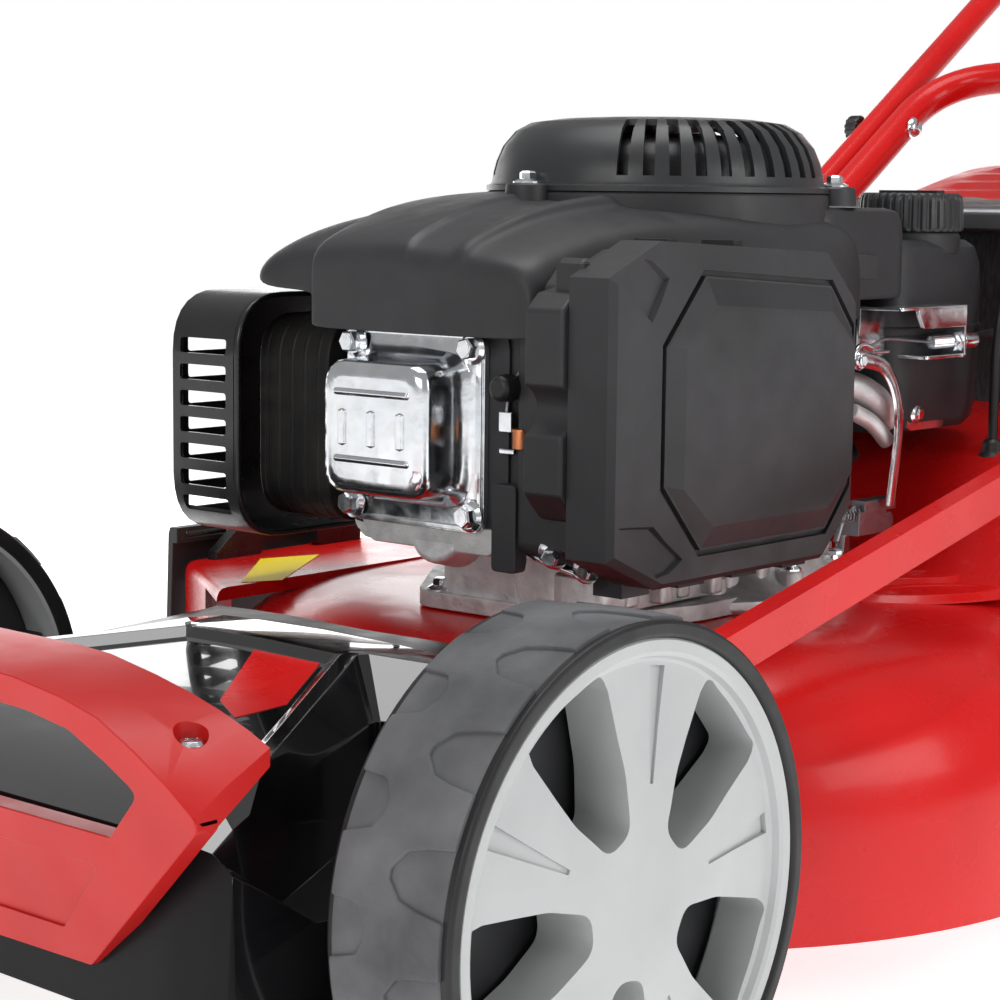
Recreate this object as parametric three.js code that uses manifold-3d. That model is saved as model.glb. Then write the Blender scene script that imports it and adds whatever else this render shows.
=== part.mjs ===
// Petrol rotary lawn mower with a 51 cm cut, a side-discharge chute and a rear grass bag.
// Lengths are millimetres. Inside the mower frame, X points to the mower's left, Y points rearwards
// from the front axle and Z points up from the ground. The exported group moves that frame so that
// the origin is the middle of the footprint.
import * as THREE from 'three';
import { mergeVertices } from 'three/addons/utils/BufferGeometryUtils.js';
import { ConvexGeometry } from 'three/addons/geometries/ConvexGeometry.js';
import Module from 'manifold-3d';

const wasm = await Module();
wasm.setup();

// ---------------------------------------------------------------- driving dimensions
const GAP = 0.3; // air between parts that touch
const SKIN = 3; // thickness of the deck, covers and bag walls
const FRONT_WHEEL = { radius: 115, width: 63.2, inner: 210.2, y: 0, z: 115 };
const REAR_WHEEL = { radius: 127, width: 55, inner: 224, y: 680, z: 127 };
const WHEEL_FACETS = 24;
const BOWL_FACETS = 32;
const CRANK_Y = 361; // crankshaft, blade and starter axis
const DECK_TOP = 170;
const DECK_BOTTOM = 33;
const CHAMBER_RADIUS = 262;
const DECK_HALF_WIDTH = 195;
const FRONT_PIVOT = { y: -32.9, z: 96, link: 45, tilt: -30 };
const REAR_PIVOT = { y: 569, z: 140, link: 128, tilt: -10.13 };
const LINK_X = 196;
const HANDLE_PIVOT = { y: 927, z: 449 };
const HANDLE_SLOPE = Math.tan(THREE.MathUtils.degToRad(33));
const LOWER_TUBE = { x: 188, radius: 12.5 };
const UPPER_TUBE = { x: 212, radius: 11 };
const GRIP = { y: 1536, z: 980 };
const BRAKE_PIVOT = { y: 1451, z: 895, reach: 112, angle: 80 };
const DRIVE_PIVOT = { y: 1430, z: 874, reach: 142, angle: 12 };
const SHROUD = { bottom: 322, top: 396, radius: 112, front: 150, right: -70, left: 88 };
const DOME = { radius: 95, top: 436, louvres: 9 };
const TANK = { x0: -60, x1: 94, y0: 470, y1: 584, z0: 254, z1: 368 };
const FLAP_HINGE = { y: 614, z: 383 };

// ---------------------------------------------------------------- materials
const paint = (color, roughness, metalness = 0) => new THREE.MeshStandardMaterial({ color, roughness, metalness });
const LOOK = {
  red: paint(0xc41212, 0.25),
  redPlastic: paint(0xd02a2a, 0.35),
  blackGloss: paint(0x0c0c0e, 0.12),
  blackPlastic: paint(0x26262a, 0.55),
  rubber: paint(0x2a2c2f, 0.85),
  grey: paint(0xb2b6b6, 0.45),
  aluminium: paint(0xa4a6a8, 0.4, 1),
  zinc: paint(0xcfd3d6, 0.25, 1),
  steel: paint(0x55585c, 0.45, 1),
  fabric: paint(0x202224, 0.9),
};

// ---------------------------------------------------------------- solids
function toSolid(geometry) {
  const bare = new THREE.BufferGeometry();
  bare.setAttribute('position', geometry.attributes.position.clone());
  if (geometry.index) bare.setIndex(geometry.index.clone());
  const merged = mergeVertices(bare, 1e-3);
  const points = merged.attributes.position;
  const faces = [];
  let volume = 0;
  const [a, b, c] = [0, 1, 2].map(() => new THREE.Vector3());
  for (let i = 0; i < merged.index.count; i += 3) {
    const face = [0, 1, 2].map((k) => merged.index.getX(i + k));
    if (new Set(face).size === 3) {
      faces.push(face);
      a.fromBufferAttribute(points, face[0]);
      b.fromBufferAttribute(points, face[1]);
      c.fromBufferAttribute(points, face[2]);
      volume += a.dot(b.cross(c));
    }
  }
  const triVerts = Uint32Array.from(faces.flatMap(([p, q, r]) => (volume > 0 ? [p, q, r] : [p, r, q])));
  return new wasm.Manifold(new wasm.Mesh({ numProp: 3, vertProperties: points.array, triVerts }));
}

function toGeometry(solid) {
  const mesh = solid.getMesh();
  const geometry = new THREE.BufferGeometry();
  geometry.setAttribute('position', new THREE.BufferAttribute(mesh.vertProperties, 3));
  geometry.setIndex(new THREE.BufferAttribute(mesh.triVerts, 1));
  geometry.computeVertexNormals();
  return geometry;
}

const join = (...solids) => solids.reduce((whole, solid) => whole.add(solid));
const cut = (solid, ...tools) => tools.reduce((whole, tool) => whole.subtract(tool), solid);
const repeat = (count, make) => Array.from({ length: count }, (_, i) => make(i));

function box([x0, x1], [y0, y1], [z0, z1]) {
  const block = new THREE.BoxGeometry(x1 - x0, y1 - y0, z1 - z0);
  return toSolid(block.translate((x0 + x1) / 2, (y0 + y1) / 2, (z0 + z1) / 2));
}

// A closed outline through corner points, each corner rounded by up to the given radius.
function outline(points, radius = 0) {
  const corners = points.map(([a, b]) => new THREE.Vector2(a, b));
  const shape = new THREE.Shape();
  corners.forEach((corner, i) => {
    const before = corners.at(i - 1);
    const after = corners[(i + 1) % corners.length];
    const start = corner.clone().lerp(before, Math.min(radius / corner.distanceTo(before), 0.45));
    const end = corner.clone().lerp(after, Math.min(radius / corner.distanceTo(after), 0.45));
    if (i === 0) shape.moveTo(start.x, start.y);
    else shape.lineTo(start.x, start.y);
    if (radius > 0) shape.quadraticCurveTo(corner.x, corner.y, end.x, end.y);
  });
  return shape;
}

// Extrudes an outline along an axis. The outline's pairs are the other two axes in X, Y, Z order.
function prism(axis, points, from, to, radius = 0, curveSegments = 3) {
  const pairs = axis === 'y' ? points.map(([x, z]) => [z, x]) : points;
  const depth = to - from;
  const solid = new THREE.ExtrudeGeometry(outline(pairs, radius), { depth, bevelEnabled: false, curveSegments });
  const [x, y, z] = [new THREE.Vector3(1, 0, 0), new THREE.Vector3(0, 1, 0), new THREE.Vector3(0, 0, 1)];
  const basis = { x: [y, z, x], y: [z, x, y], z: [x, y, z] }[axis];
  solid.translate(0, 0, from).applyMatrix4(new THREE.Matrix4().makeBasis(...basis));
  return toSolid(solid);
}

const slab = ([a0, a1], [b0, b1]) => [[a0, b0], [a1, b0], [a1, b1], [a0, b1]];

// Turned solid about a vertical axis through (x, y), or about a level axis parallel to X through (y, z).
function turned(profile, place, segments = 36, axis = 'z') {
  const points = profile.map(([r, s]) => new THREE.Vector2(r, s));
  const phi = Math.PI / segments;
  const solid = new THREE.LatheGeometry(points, segments, phi);
  if (axis === 'z') solid.rotateX(Math.PI / 2).translate(place[0], place[1], 0);
  else solid.rotateZ(-Math.PI / 2).translate(0, place[0], place[1]);
  return toSolid(solid);
}

// A round bar along an axis; place gives the other two coordinates in X, Y, Z order.
function bar(axis, radius, from, to, place, sides = 16) {
  const rod = new THREE.CylinderGeometry(radius, radius, to - from, sides);
  const middle = (from + to) / 2;
  if (axis === 'x') rod.rotateZ(-Math.PI / 2).translate(middle, place[0], place[1]);
  if (axis === 'y') rod.translate(place[0], middle, place[1]);
  if (axis === 'z') rod.rotateX(Math.PI / 2).translate(place[0], place[1], middle);
  return toSolid(rod);
}

const hull = (points) => toSolid(new ConvexGeometry(points.map((p) => new THREE.Vector3(...p))));

// A curve that passes through its points in equal steps of its parameter.
class Route extends THREE.Curve {
  constructor(points) {
    super();
    this.points = points;
  }

  getPoint(t, target = new THREE.Vector3()) {
    const place = t * (this.points.length - 1);
    const i = Math.min(Math.floor(place), this.points.length - 2);
    return target.copy(this.points[i]).lerp(this.points[i + 1], place - i);
  }

  getPointAt(u, target) {
    return this.getPoint(u, target);
  }

  getTangentAt(u, target = new THREE.Vector3()) {
    const last = this.points.length - 1;
    const i = Math.round(u * last);
    const here = this.points[i];
    const arriving = here.clone().sub(this.points[Math.max(i - 1, 0)]).normalize();
    const leaving = this.points[Math.min(i + 1, last)].clone().sub(here).normalize();
    return target.addVectors(arriving, leaving).normalize();
  }
}

// Points of a bent rod: straight runs with every inner corner rounded.
function bent(points, radius, steps = 4) {
  const corners = points.map((p) => new THREE.Vector3(...p));
  const route = [corners[0]];
  for (let i = 1; i < corners.length - 1; i += 1) {
    const into = Math.min(radius / corners[i].distanceTo(corners[i - 1]), 0.48);
    const out = Math.min(radius / corners[i].distanceTo(corners[i + 1]), 0.48);
    const start = corners[i].clone().lerp(corners[i - 1], into);
    const end = corners[i].clone().lerp(corners[i + 1], out);
    route.push(...new THREE.QuadraticBezierCurve3(start, corners[i], end).getPoints(steps));
  }
  route.push(corners.at(-1));
  return route;
}

function ring(radius, sides) {
  return repeat(sides, (i) => {
    const angle = (i / sides) * 2 * Math.PI;
    return new THREE.Vector2(radius * Math.cos(angle), radius * Math.sin(angle));
  });
}

// A rod along a route, or a tube when it has a bore.
function sweep(route, radius, sides = 10, bore = 0) {
  const section = new THREE.Shape(ring(radius, sides));
  if (bore > 0) section.holes.push(new THREE.Path(ring(bore, sides).reverse()));
  const extrudePath = new Route(route);
  return toSolid(new THREE.ExtrudeGeometry(section, { steps: route.length - 1, extrudePath, bevelEnabled: false }));
}

const polar = (angle, radius) => {
  const radians = THREE.MathUtils.degToRad(angle);
  return [radius * Math.cos(radians), radius * Math.sin(radians)];
};

// ---------------------------------------------------------------- the scene graph
const mower = new THREE.Group();

function part(name, solid, material, parent = mower) {
  const mesh = new THREE.Mesh(toGeometry(solid), material);
  mesh.name = name;
  parent.add(mesh);
  return mesh;
}

// ---------------------------------------------------------------- wheels
// Profiles are pairs of radius and distance out from the wheel's inner face.
function tyre({ radius, width }) {
  const flat = radius / Math.cos(Math.PI / WHEEL_FACETS);
  const rim = flat - 11;
  const profile = [[rim, 1], [flat - 5, 0], [flat, 6], [flat, width - 6], [flat - 5, width], [rim, width - 1], [rim, 1]];
  return turned(profile, [0, 0], WHEEL_FACETS, 'x');
}

function rim({ radius, width }) {
  const edge = radius / Math.cos(Math.PI / WHEEL_FACETS) - 11 - GAP;
  const face = width - 7;
  const profile = [
    [6.5, 0], [24, 0], [24, 12], [edge - 5, 12], [edge - 3, 2], [edge, 2], [edge, width - 2],
    [edge - 8, face], [30, face], [26, face + 4], [6.5, face + 4], [6.5, 0],
  ];
  const spokes = repeat(5, (i) => {
    const middle = 54 + i * 72;
    const corners = [[36, -9], [66, -22], [edge - 15, -16], [edge - 15, 16], [66, 22], [36, 9]];
    const window = corners.map(([r, spread]) => polar(middle + spread, r));
    return prism('x', window, 16, width);
  });
  return cut(turned(profile, [0, 0], WHEEL_FACETS, 'x'), ...spokes);
}

function addWheels() {
  for (const [end, wheel] of [['front', FRONT_WHEEL], ['rear', REAR_WHEEL]]) {
    for (const [hand, side] of [['left', 1], ['right', -1]]) {
      const hub = new THREE.Group();
      hub.position.set(side * wheel.inner, wheel.y, wheel.z);
      if (side < 0) hub.rotation.z = Math.PI;
      part(`${end}_tyre_${hand}`, tyre(wheel), LOOK.rubber, hub);
      part(`${end}_rim_${hand}`, rim(wheel), LOOK.grey, hub);
      mower.add(hub);
    }
  }
}

// ---------------------------------------------------------------- deck, fairing and carry handle
function bowl(inset, bottom) {
  const profile = [
    [0, bottom], [CHAMBER_RADIUS - inset, bottom], [259 - inset, 100], [250 - inset, 128 - inset * 0.4],
    [236 - inset * 0.8, 150 - inset * 0.6], [214 - inset * 0.5, 165 - inset], [190, DECK_TOP - inset],
    [0, DECK_TOP - inset],
  ];
  return turned(profile, [0, CRANK_Y], BOWL_FACETS);
}

const frontAxleHole = () => bar('x', 8.6, -230, 230, [FRONT_PIVOT.y, FRONT_PIVOT.z], 12);

function deckShell() {
  const tunnel = [[361, 60], [560, 60], [600, 160], [640, 160], [640, 262], [545, 238], [490, 170], [361, 170]];
  const chute = [[361, 50], [557, 50], [598, 163], [645, 163], [645, 258], [546, 235], [491, 167], [361, 167]];
  const half = DECK_HALF_WIDTH;
  const nose = box([-174, 174], [-100, CRANK_Y], [66, 150]);
  const noseInside = box([-171, 171], [-97, CRANK_Y], [50, 147]);
  const sideChute = box([-CHAMBER_RADIUS, -190], [210, 390], [60, 172]);
  const sideInside = box([-CHAMBER_RADIUS - 5, -150], [213, 387], [63, 169]);
  const body = join(bowl(0, DECK_BOTTOM), prism('x', tunnel, -half, half), nose, sideChute);
  const hollow = join(bowl(SKIN, DECK_BOTTOM - 10), prism('x', chute, SKIN - half, half - SKIN), sideInside);
  return cut(
    body,
    hollow,
    cut(noseInside, bowl(0, DECK_BOTTOM - 12)),
    bar('z', 42, 150, 180, [0, CRANK_Y], 20),
    bar('x', 8.6, -230, 230, [REAR_PIVOT.y, REAR_PIVOT.z], 12),
    box([-54, 54], [585, 640], [30, 98]),
    frontAxleHole(),
  );
}

function frontFairing() {
  const plan = [
    [-150, -150], [150, -150], [184, -112], [184, 60], [205, 125], [214, 150], [214, 260],
    [-214, 260], [-214, 150], [-205, 125], [-184, 60], [-184, -112],
  ];
  const inner = plan.map(([x, y]) => [x - Math.sign(x) * SKIN, y === -150 ? y + SKIN : y]);
  const side = (drop) => [[-150, 72 - drop], [-150, 150 - drop], [-118, 168 - drop], [60, 176 - drop],
    [262, 176 - drop], [262, 72 - drop]];
  const roof = (drop) => [
    [-220, 60], [-214, 132 - drop], [-196, 140 - drop], [-180, 158 - drop], [-150, 177 - drop],
    [150, 177 - drop], [180, 158 - drop], [196, 140 - drop], [214, 132 - drop], [220, 60],
  ];
  const skin = (edge, drop, bottom) => prism('z', edge, bottom, 200)
    .intersect(prism('x', side(drop), -230, 230))
    .intersect(prism('y', roof(drop), -160, 262));
  const whole = cut(skin(plan, 0, 72), skin(inner, SKIN, 60).add(box([-175, 175], [-146, 262], [40, 120])));
  const arc = bar('z', 240, 40, 220, [0, CRANK_Y], 40);
  const grown = turned(
    [[0, 20], [263, 20], [260, 100], [251, 129], [237, 151], [215, 166], [190, 171], [0, 171], [0, 20]],
    [0, CRANK_Y],
    BOWL_FACETS,
  );
  const tops = ['left', 'right'].map((hand) => {
    const side = hand === 'left' ? 1 : -1;
    return box([side * 165 - 8, side * 165 + 8], [-135, -115], [170.2, 190]);
  });
  return cut(whole, arc, grown, box([-230, -178], [200, 400], [40, 190]), frontAxleHole(), ...tops);
}

function frontHandle() {
  const arch = [[-108, 71], [108, 71], [205, 180], [205, 193], [150, 206], [60, 215], [-60, 215], [-150, 206],
    [-205, 193], [-205, 180]];
  const opening = [[-110, 122], [110, 122], [158, 168], [140, 181], [50, 191], [-50, 191], [-140, 181], [-158, 168]];
  const bumper = cut(prism('y', arch, -190, -152, 12), prism('y', opening, -200, -140, 10));
  const feet = [1, -1].map((side) => {
    const [inner, outer] = [side * 152, side * 192].sort((a, b) => a - b);
    const foot = box([inner, outer], [-160, -104], [178, 194]);
    return cut(foot, bar('z', 3, 170, 200, [side * 165, -125], 12), bar('z', 7, 189, 200, [side * 165, -125], 12));
  });
  return join(bumper, ...feet);
}

function dischargeFlap() {
  const section = [[-263.5, 178.5], [-263.5, 188], [-270, 188], [-277, 58], [-273.5, 58], [-267, 178.5]];
  return prism('y', section, 204, 396);
}

function rearFlap() {
  const plate = [[609, 379], [609, 387], [770, 424], [771, 420.5], [618, 381]];
  const stiffener = [[618, 383], [618, 391], [640, 394], [640, 388]];
  const hinge = bar('x', 4, -207, 207, [FLAP_HINGE.y, FLAP_HINGE.z]);
  return join(prism('x', plate, -150, 150), prism('x', stiffener, -120, 120), hinge);
}

function handleBracket(side) {
  const plate = [[606, 178], [706, 244], [706, 310], [628, 310], [624, 394], [604, 394], [604, 178]];
  const outer = side > 0 ? [201, 205] : [-205, -201];
  const spacer = side > 0 ? [195.3, 202] : [-202, -195.3];
  const sheet = prism('x', plate, ...outer);
  const boss = box(spacer, [608, 636], [190, 240]);
  return cut(join(sheet, boss), bar('x', 4.6, -220, 220, [FLAP_HINGE.y, FLAP_HINGE.z]));
}

// ---------------------------------------------------------------- axles and cutting-height gear
const turnedFrom = (pivot, reach, tilt) => {
  const [along, up] = polar(90 - tilt, reach);
  return [pivot.y + along, pivot.z + up];
};
const frontPin = () => turnedFrom(FRONT_PIVOT, FRONT_PIVOT.link, FRONT_PIVOT.tilt);
const rearPin = () => turnedFrom(REAR_PIVOT, REAR_PIVOT.link, REAR_PIVOT.tilt);

function frontAxle() {
  const { y, z } = FRONT_PIVOT;
  const [pinY, pinZ] = frontPin();
  const plate = (side, corners) => prism('x', corners, ...(side > 0 ? [188, 194] : [-194, -188]));
  const arm = [[y - 11, z - 9], [y + 4, z - 13], [9, 104], [12, 118], [2, 126], [y - 4, z + 14], [y - 12, z + 6]];
  const horn = [[y - 11, z - 6], [y + 10, z - 6], [pinY + 9, pinZ + 6], [pinY, pinZ + 11], [pinY - 9, pinZ + 4]];
  const stub = (side) => bar('x', 6, ...(side > 0 ? [190, 268] : [-268, -190]), [0, FRONT_WHEEL.z], 12);
  const pin = bar('x', 4, 190, 206, [pinY, pinZ], 10);
  return join(
    bar('x', 7, -190, 190, [y, z], 12), plate(1, arm), plate(-1, arm), plate(1, horn), stub(1), stub(-1), pin,
  );
}

function rearAxle() {
  const { y, z } = REAR_PIVOT;
  const arm = [[y - 13, z - 8], [y, z - 14], [688, 114], [692, 130], [682, 140], [y + 6, z + 14], [y - 11, z + 10]];
  const parts = [1, -1].flatMap((side) => {
    const span = (a, b) => (side > 0 ? [a, b] : [-b, -a]);
    return [prism('x', arm, ...span(207, 211.5)), bar('x', 8, ...span(188, 209), [y, z], 12)];
  });
  const hubs = [REAR_WHEEL.y, REAR_WHEEL.z];
  return join(bar('x', 8, -222, 222, hubs, 12), bar('x', 6, -274, 274, hubs, 12), ...parts);
}

function heightLever() {
  const { y, z } = REAR_PIVOT;
  const [tipY, tipZ] = turnedFrom(REAR_PIVOT, 235, REAR_PIVOT.tilt);
  const [pinY, pinZ] = rearPin();
  const blade = [[y - 14, z - 6], [y + 4, z - 14], [y + 15, z], [pinY + 15, pinZ], [tipY + 9, tipZ],
    [tipY - 9, tipZ], [pinY - 15, pinZ]];
  const grip = prism('x', [[tipY - 13, tipZ - 30], [tipY + 20, tipZ - 30], [tipY + 12, tipZ + 16], [tipY - 14, tipZ + 16]],
    208, 221, 7);
  const slot = hull([-8.5, 8.5].flatMap((up) => [-1, 1].flatMap((along) => [
    [205, pinY + along * 9, pinZ + up], [225, pinY + along * 9, pinZ + up],
  ])));
  return cut(join(prism('x', blade, 211.8, 216.3, 6), grip), slot);
}

function heightLink() {
  const [y0, z0] = frontPin();
  const [y1, z1] = rearPin();
  const length = Math.hypot(y1 - y0, z1 - z0);
  const [alongY, alongZ] = [(y1 - y0) / length, (z1 - z0) / length];
  const at = (along, up) => [y0 + along * alongY - up * alongZ, z0 + along * alongZ + up * alongY];
  const strip = [at(-10, -8.5), at(length + 10, -8.5), at(length + 10, 8.5), at(-10, 8.5)];
  const flange = [at(40, 6.5), at(length - 20, 6.5), at(length - 20, 8.5), at(40, 8.5)];
  const bolt = bar('x', 4, LINK_X + 2, 219, [y1, z1]);
  const flat = cut(prism('x', strip, LINK_X, LINK_X + 4, 6), bar('x', 4.5, LINK_X - 9, LINK_X + 9, [y0, z0]));
  return join(flat, prism('x', flange, LINK_X - 4, LINK_X + 2), bolt);
}

// ---------------------------------------------------------------- engine
const FILLER = [-138, 396]; // oil filler tube

function engineBase() {
  const sump = turned([[13.5, 170.3], [124, 170.3], [124, 178], [112, 184], [104, 204], [13.5, 204], [13.5, 170.3]],
    [0, CRANK_Y], 28);
  const nose = prism('z', slab([-62, 62], [218, CRANK_Y]), 170.3, 204, 14);
  const filler = join(bar('z', 9, 182, 322, FILLER, 12), bar('x', 8, FILLER[0], -90, [FILLER[1], 190], 12));
  return cut(join(sump, nose, filler), bar('z', 13.5, 160, 210, [0, CRANK_Y], 20), bar('z', 5, 200, 330, FILLER, 10));
}

function cylinderBlock() {
  const crankcase = bar('z', 75, 204.3, 318, [0, CRANK_Y], 24);
  const barrel = box([-48, 48], [200, CRANK_Y], [224, 312]);
  const head = prism('y', slab([-52, 52], [224, 320]), 162.3, 200, 8);
  const fins = repeat(5, (i) => [1, -1].map((side) => {
    const [inner, outer] = [side * 38, side * 55].sort((a, b) => a - b);
    return box([inner, outer], [206 + i * 14, 212 + i * 14], [220, 325]);
  })).flat();
  return cut(join(crankcase, barrel, head), bar('z', 13.5, 190, 330, [0, CRANK_Y], 20), ...fins);
}

const COVER = { x: -2.5, z: 274, pitch: 40 };

function valveCover() {
  const square = (half) => slab([COVER.x - half, COVER.x + half], [COVER.z - half, COVER.z + half]);
  const flange = prism('y', square(47), 158, 162, 12);
  const dome = prism('y', square(32), 137, 159, 12);
  const lip = prism('y', square(29), 134, 138, 12);
  const hollow = prism('y', square(28), 140, 163, 10);
  const ribs = [-7, 7].map((up) => box([COVER.x - 24, COVER.x + 24], [132.5, 135], [COVER.z + up - 1.5, COVER.z + up + 1.5]));
  const holes = corners().map(([x, z]) => bar('y', 3.4, 150, 170, [x, z], 8));
  return cut(join(flange, dome, lip, ...ribs), hollow, ...holes);
}

function corners() {
  return [[-1, 1], [1, 1], [-1, -1], [1, -1]].map(([a, b]) => [COVER.x + a * COVER.pitch, COVER.z + b * COVER.pitch]);
}

function flangedBolt([x, z]) {
  return join(bar('y', 5.4, 151, 156.5, [x, z], 6), bar('y', 7.6, 155.6, 157.7, [x, z], 8),
    bar('y', 3, 156, 162.1, [x, z], 8));
}

function blowerHousing() {
  const circle = (radius, z) => repeat(24, (i) => {
    const [x, y] = polar(i * 15, radius);
    return [x, CRANK_Y + y, z];
  });
  const shell = (inset, bottom) => hull([
    ...circle(SHROUD.radius + 3 - inset, bottom), ...circle(SHROUD.radius + 3 - inset, 372 - inset),
    ...circle(SHROUD.radius - 10 - inset, SHROUD.top - inset),
    ...[-102, SHROUD.left - 8].flatMap((x) => [
      [x - Math.sign(x) * inset, SHROUD.front + inset, bottom],
      [x - Math.sign(x) * inset, SHROUD.front + inset, 356 - inset],
      [x - Math.sign(x) * (8 + inset), SHROUD.front + 20 + inset, 374 - inset],
    ]),
  ]);
  const filterRoom = box([SHROUD.left, 200], [90, 352], [300, 420]);
  const filterRoomInside = box([SHROUD.left - SKIN, 200], [90, 352], [290, 420]);
  const guardRoom = box([-200, SHROUD.right], [90, 325], [300, 341]);
  const guardRoomInside = box([-200, SHROUD.right + SKIN], [90, 328], [290, 344]);
  const outside = cut(shell(0, SHROUD.bottom), filterRoom, guardRoom);
  const inside = cut(shell(SKIN, SHROUD.bottom - 6), filterRoomInside, guardRoomInside);
  return cut(outside, inside, bar('z', 76, 380, 400, [0, CRANK_Y], 20));
}

function recoilCover() {
  const z0 = SHROUD.top + GAP;
  const { radius, top } = DOME;
  const profile = [
    [radius - 4, z0], [radius, z0], [radius - 3, top - 16], [radius - 15, top - 2], [radius - 32, top], [0, top],
    [0, top - 3], [radius - 34, top - 3], [radius - 18, top - 6], [radius - 7, top - 17], [radius - 4, z0],
  ];
  const slots = repeat(DOME.louvres, (i) => {
    const slot = new THREE.BoxGeometry(26, 5, 20);
    slot.translate(radius, 0, z0 + 21).rotateZ(THREE.MathUtils.degToRad(-65 + i * 18)).translate(0, CRANK_Y, 0);
    return toSolid(slot);
  });
  return cut(turned(profile, [0, CRANK_Y], 24), ...slots);
}

function starterGrip() {
  const bodyShape = join(bar('x', 9, -104, -40, [468, 431], 12), box([-80, -64], [455, 468], [424, 438]));
  return bodyShape;
}

function muffler() {
  const can = prism('x', slab([164, 288], [230, 312]), -164, -84, 14);
  return join(can, bar('x', 11, -90, -52.6, [185, 268], 16));
}

function mufflerGuard() {
  const casing = (grow, x1) => prism('x', slab([150 + grow, 300 - grow], [203 + grow, 338 - grow]), -174 + grow, x1, 26);
  const slots = repeat(7, (i) => {
    const z = 220 + i * 14;
    return [box([-166, -131], [140, 170], [z, z + 7]), box([-190, -160], [176, 276], [z, z + 7])];
  }).flat();
  const rear = box([-160, -60], [290, 310], [230, 312]);
  return cut(casing(0, -72), casing(2.5, -60), rear, ...slots);
}

function airFilterBase() {
  const section = [[70, 215], [99, 215], [99, 360], [90.5, 360], [90.5, 317], [70, 317]];
  return prism('y', section, 158, 325);
}

function airFilterCover() {
  const rim = (x, y0, y1, z0, z1, chamfer) => [
    [x, y0 + chamfer, z0], [x, y1 - chamfer, z0], [x, y1, z0 + chamfer], [x, y1, z1 - chamfer],
    [x, y1 - chamfer, z1], [x, y0 + chamfer, z1], [x, y0, z1 - chamfer], [x, y0, z0 + chamfer],
  ];
  const body = hull([...rim(99.3, 110, 348, 203, 371, 18), ...rim(120, 120, 348, 200, 372, 24),
    ...rim(136, 140, 344, 203, 366, 28)]);
  const panel = hull([...rim(130, 165, 342, 205, 360, 26), ...rim(150, 193, 335, 214, 345, 24)]);
  const hollow = hull([...rim(90, 116, 344, 209, 366, 18), ...rim(132, 145, 339, 210, 360, 26)]);
  return cut(join(body, panel), hollow);
}

function fuelTank() {
  const { x0, x1, y0, y1, z0, z1 } = TANK;
  const plan = (g) => slab([x0 + g, x1 - g], [y0 + g, y1 - g]);
  const body = prism('z', plan(0), z0, z1, 24);
  const neck = bar('z', 22, z1 - 5, z1 + 6, [62, 534], 16);
  const hollow = join(prism('z', plan(SKIN), z0 + SKIN, z1 - SKIN, 22), bar('z', 18, z1 - 8, z1 + 10, [62, 534], 16));
  const shroudRoom = bar('z', SHROUD.radius + 6, 300, 400, [0, CRANK_Y], 32);
  const shroudWall = bar('z', SHROUD.radius + 9, 297, 400, [0, CRANK_Y], 32);
  return cut(join(body, neck), cut(hollow, shroudWall), shroudRoom);
}

function fuelCap() {
  const top = TANK.z1;
  const cap = turned([[22.6, top + 0.6], [32, top + 0.6], [32, top + 24], [29, top + 28], [0, top + 28], [0, top + 8],
    [22.6, top + 8], [22.6, top + 0.6]], [62, 534], 20);
  return cap;
}

function carburettor() {
  return join(box([49, 69.6], [226, 272], [236, 284]), bar('z', 10, 214, 240, [59, 250], 16));
}

function sparkPlug() {
  return join(bar('y', 5, 140, 162, [60, 292], 12), bar('y', 8, 118, 146, [60, 292], 12),
    bar('x', 6, 52.3, 62, [158, 292], 12));
}

function dipstick() {
  return join(bar('z', 15, 322.4, 338, FILLER, 12), bar('z', 3, 215, 324, FILLER, 8));
}

const CABLE_STOP = { x: 103, y: 517, z: 309 };

function cableBracket() {
  const plate = prism('x', [[446, 298], [500, 298], [500, 330], [488, 334], [446, 322]], 108, 110.4);
  const foot = box([80, 110.4], [444, 446.4], [298, 322]);
  const end = box([97, 110.4], [497.6, 500], [298, 320]);
  return join(plate, foot, end, bar('y', 5, 488, CABLE_STOP.y - 0.4, [CABLE_STOP.x, CABLE_STOP.z], 12));
}

function governorLever() {
  const route = bent([[97.5, 380, 300], [101, 392, 300], [103, 404, 262], [101, 396, 222], [90, 388, 214]], 12, 3);
  return join(sweep(route, 2.6, 6), bar('x', 6, 92, 99, [380, 300], 10));
}

// ---------------------------------------------------------------- crankshaft line
function crankshaft() {
  return join(bar('z', 12.5, 78, 372, [0, CRANK_Y], 20), bar('z', 20, 364.5, 371, [0, CRANK_Y], 6));
}

function flywheel() {
  const disc = turned([[13, 346], [82, 346], [82, 354], [28, 356], [28, 364], [13, 364], [13, 346]], [0, CRANK_Y], 24);
  const vanes = repeat(10, (i) => {
    const vane = new THREE.BoxGeometry(28, 3, 18);
    vane.translate(62, 0, 360).rotateZ((i / 10) * 2 * Math.PI).translate(0, CRANK_Y, 0);
    return toSolid(vane);
  });
  return join(disc, ...vanes);
}

function bladeAdapter() {
  const profile = [[13, 62.5], [24, 62.5], [24, 74], [30, 76], [30, 79], [26.5, 81], [26.5, 87], [30, 89], [30, 92],
    [20, 94], [20, 110], [13, 110], [13, 62.5]];
  return turned(profile, [0, CRANK_Y], 20);
}

function blade() {
  const flat = prism('z', [[-252, -26], [252, -20], [252, 26], [-252, 20]], 58, 62, 4);
  const sails = [1, -1].map((side) => hull([165, 250].flatMap((reach) => [
    [side * reach, side * 10, 58], [side * reach, side * 10, 62], [side * reach, side * 27, 70],
    [side * reach, side * 27, 74],
  ])));
  const whole = toGeometry(join(flat, ...sails)).translate(0, CRANK_Y, 0);
  return cut(toSolid(whole), bar('z', 6, 50, 70, [0, CRANK_Y], 16));
}

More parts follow.
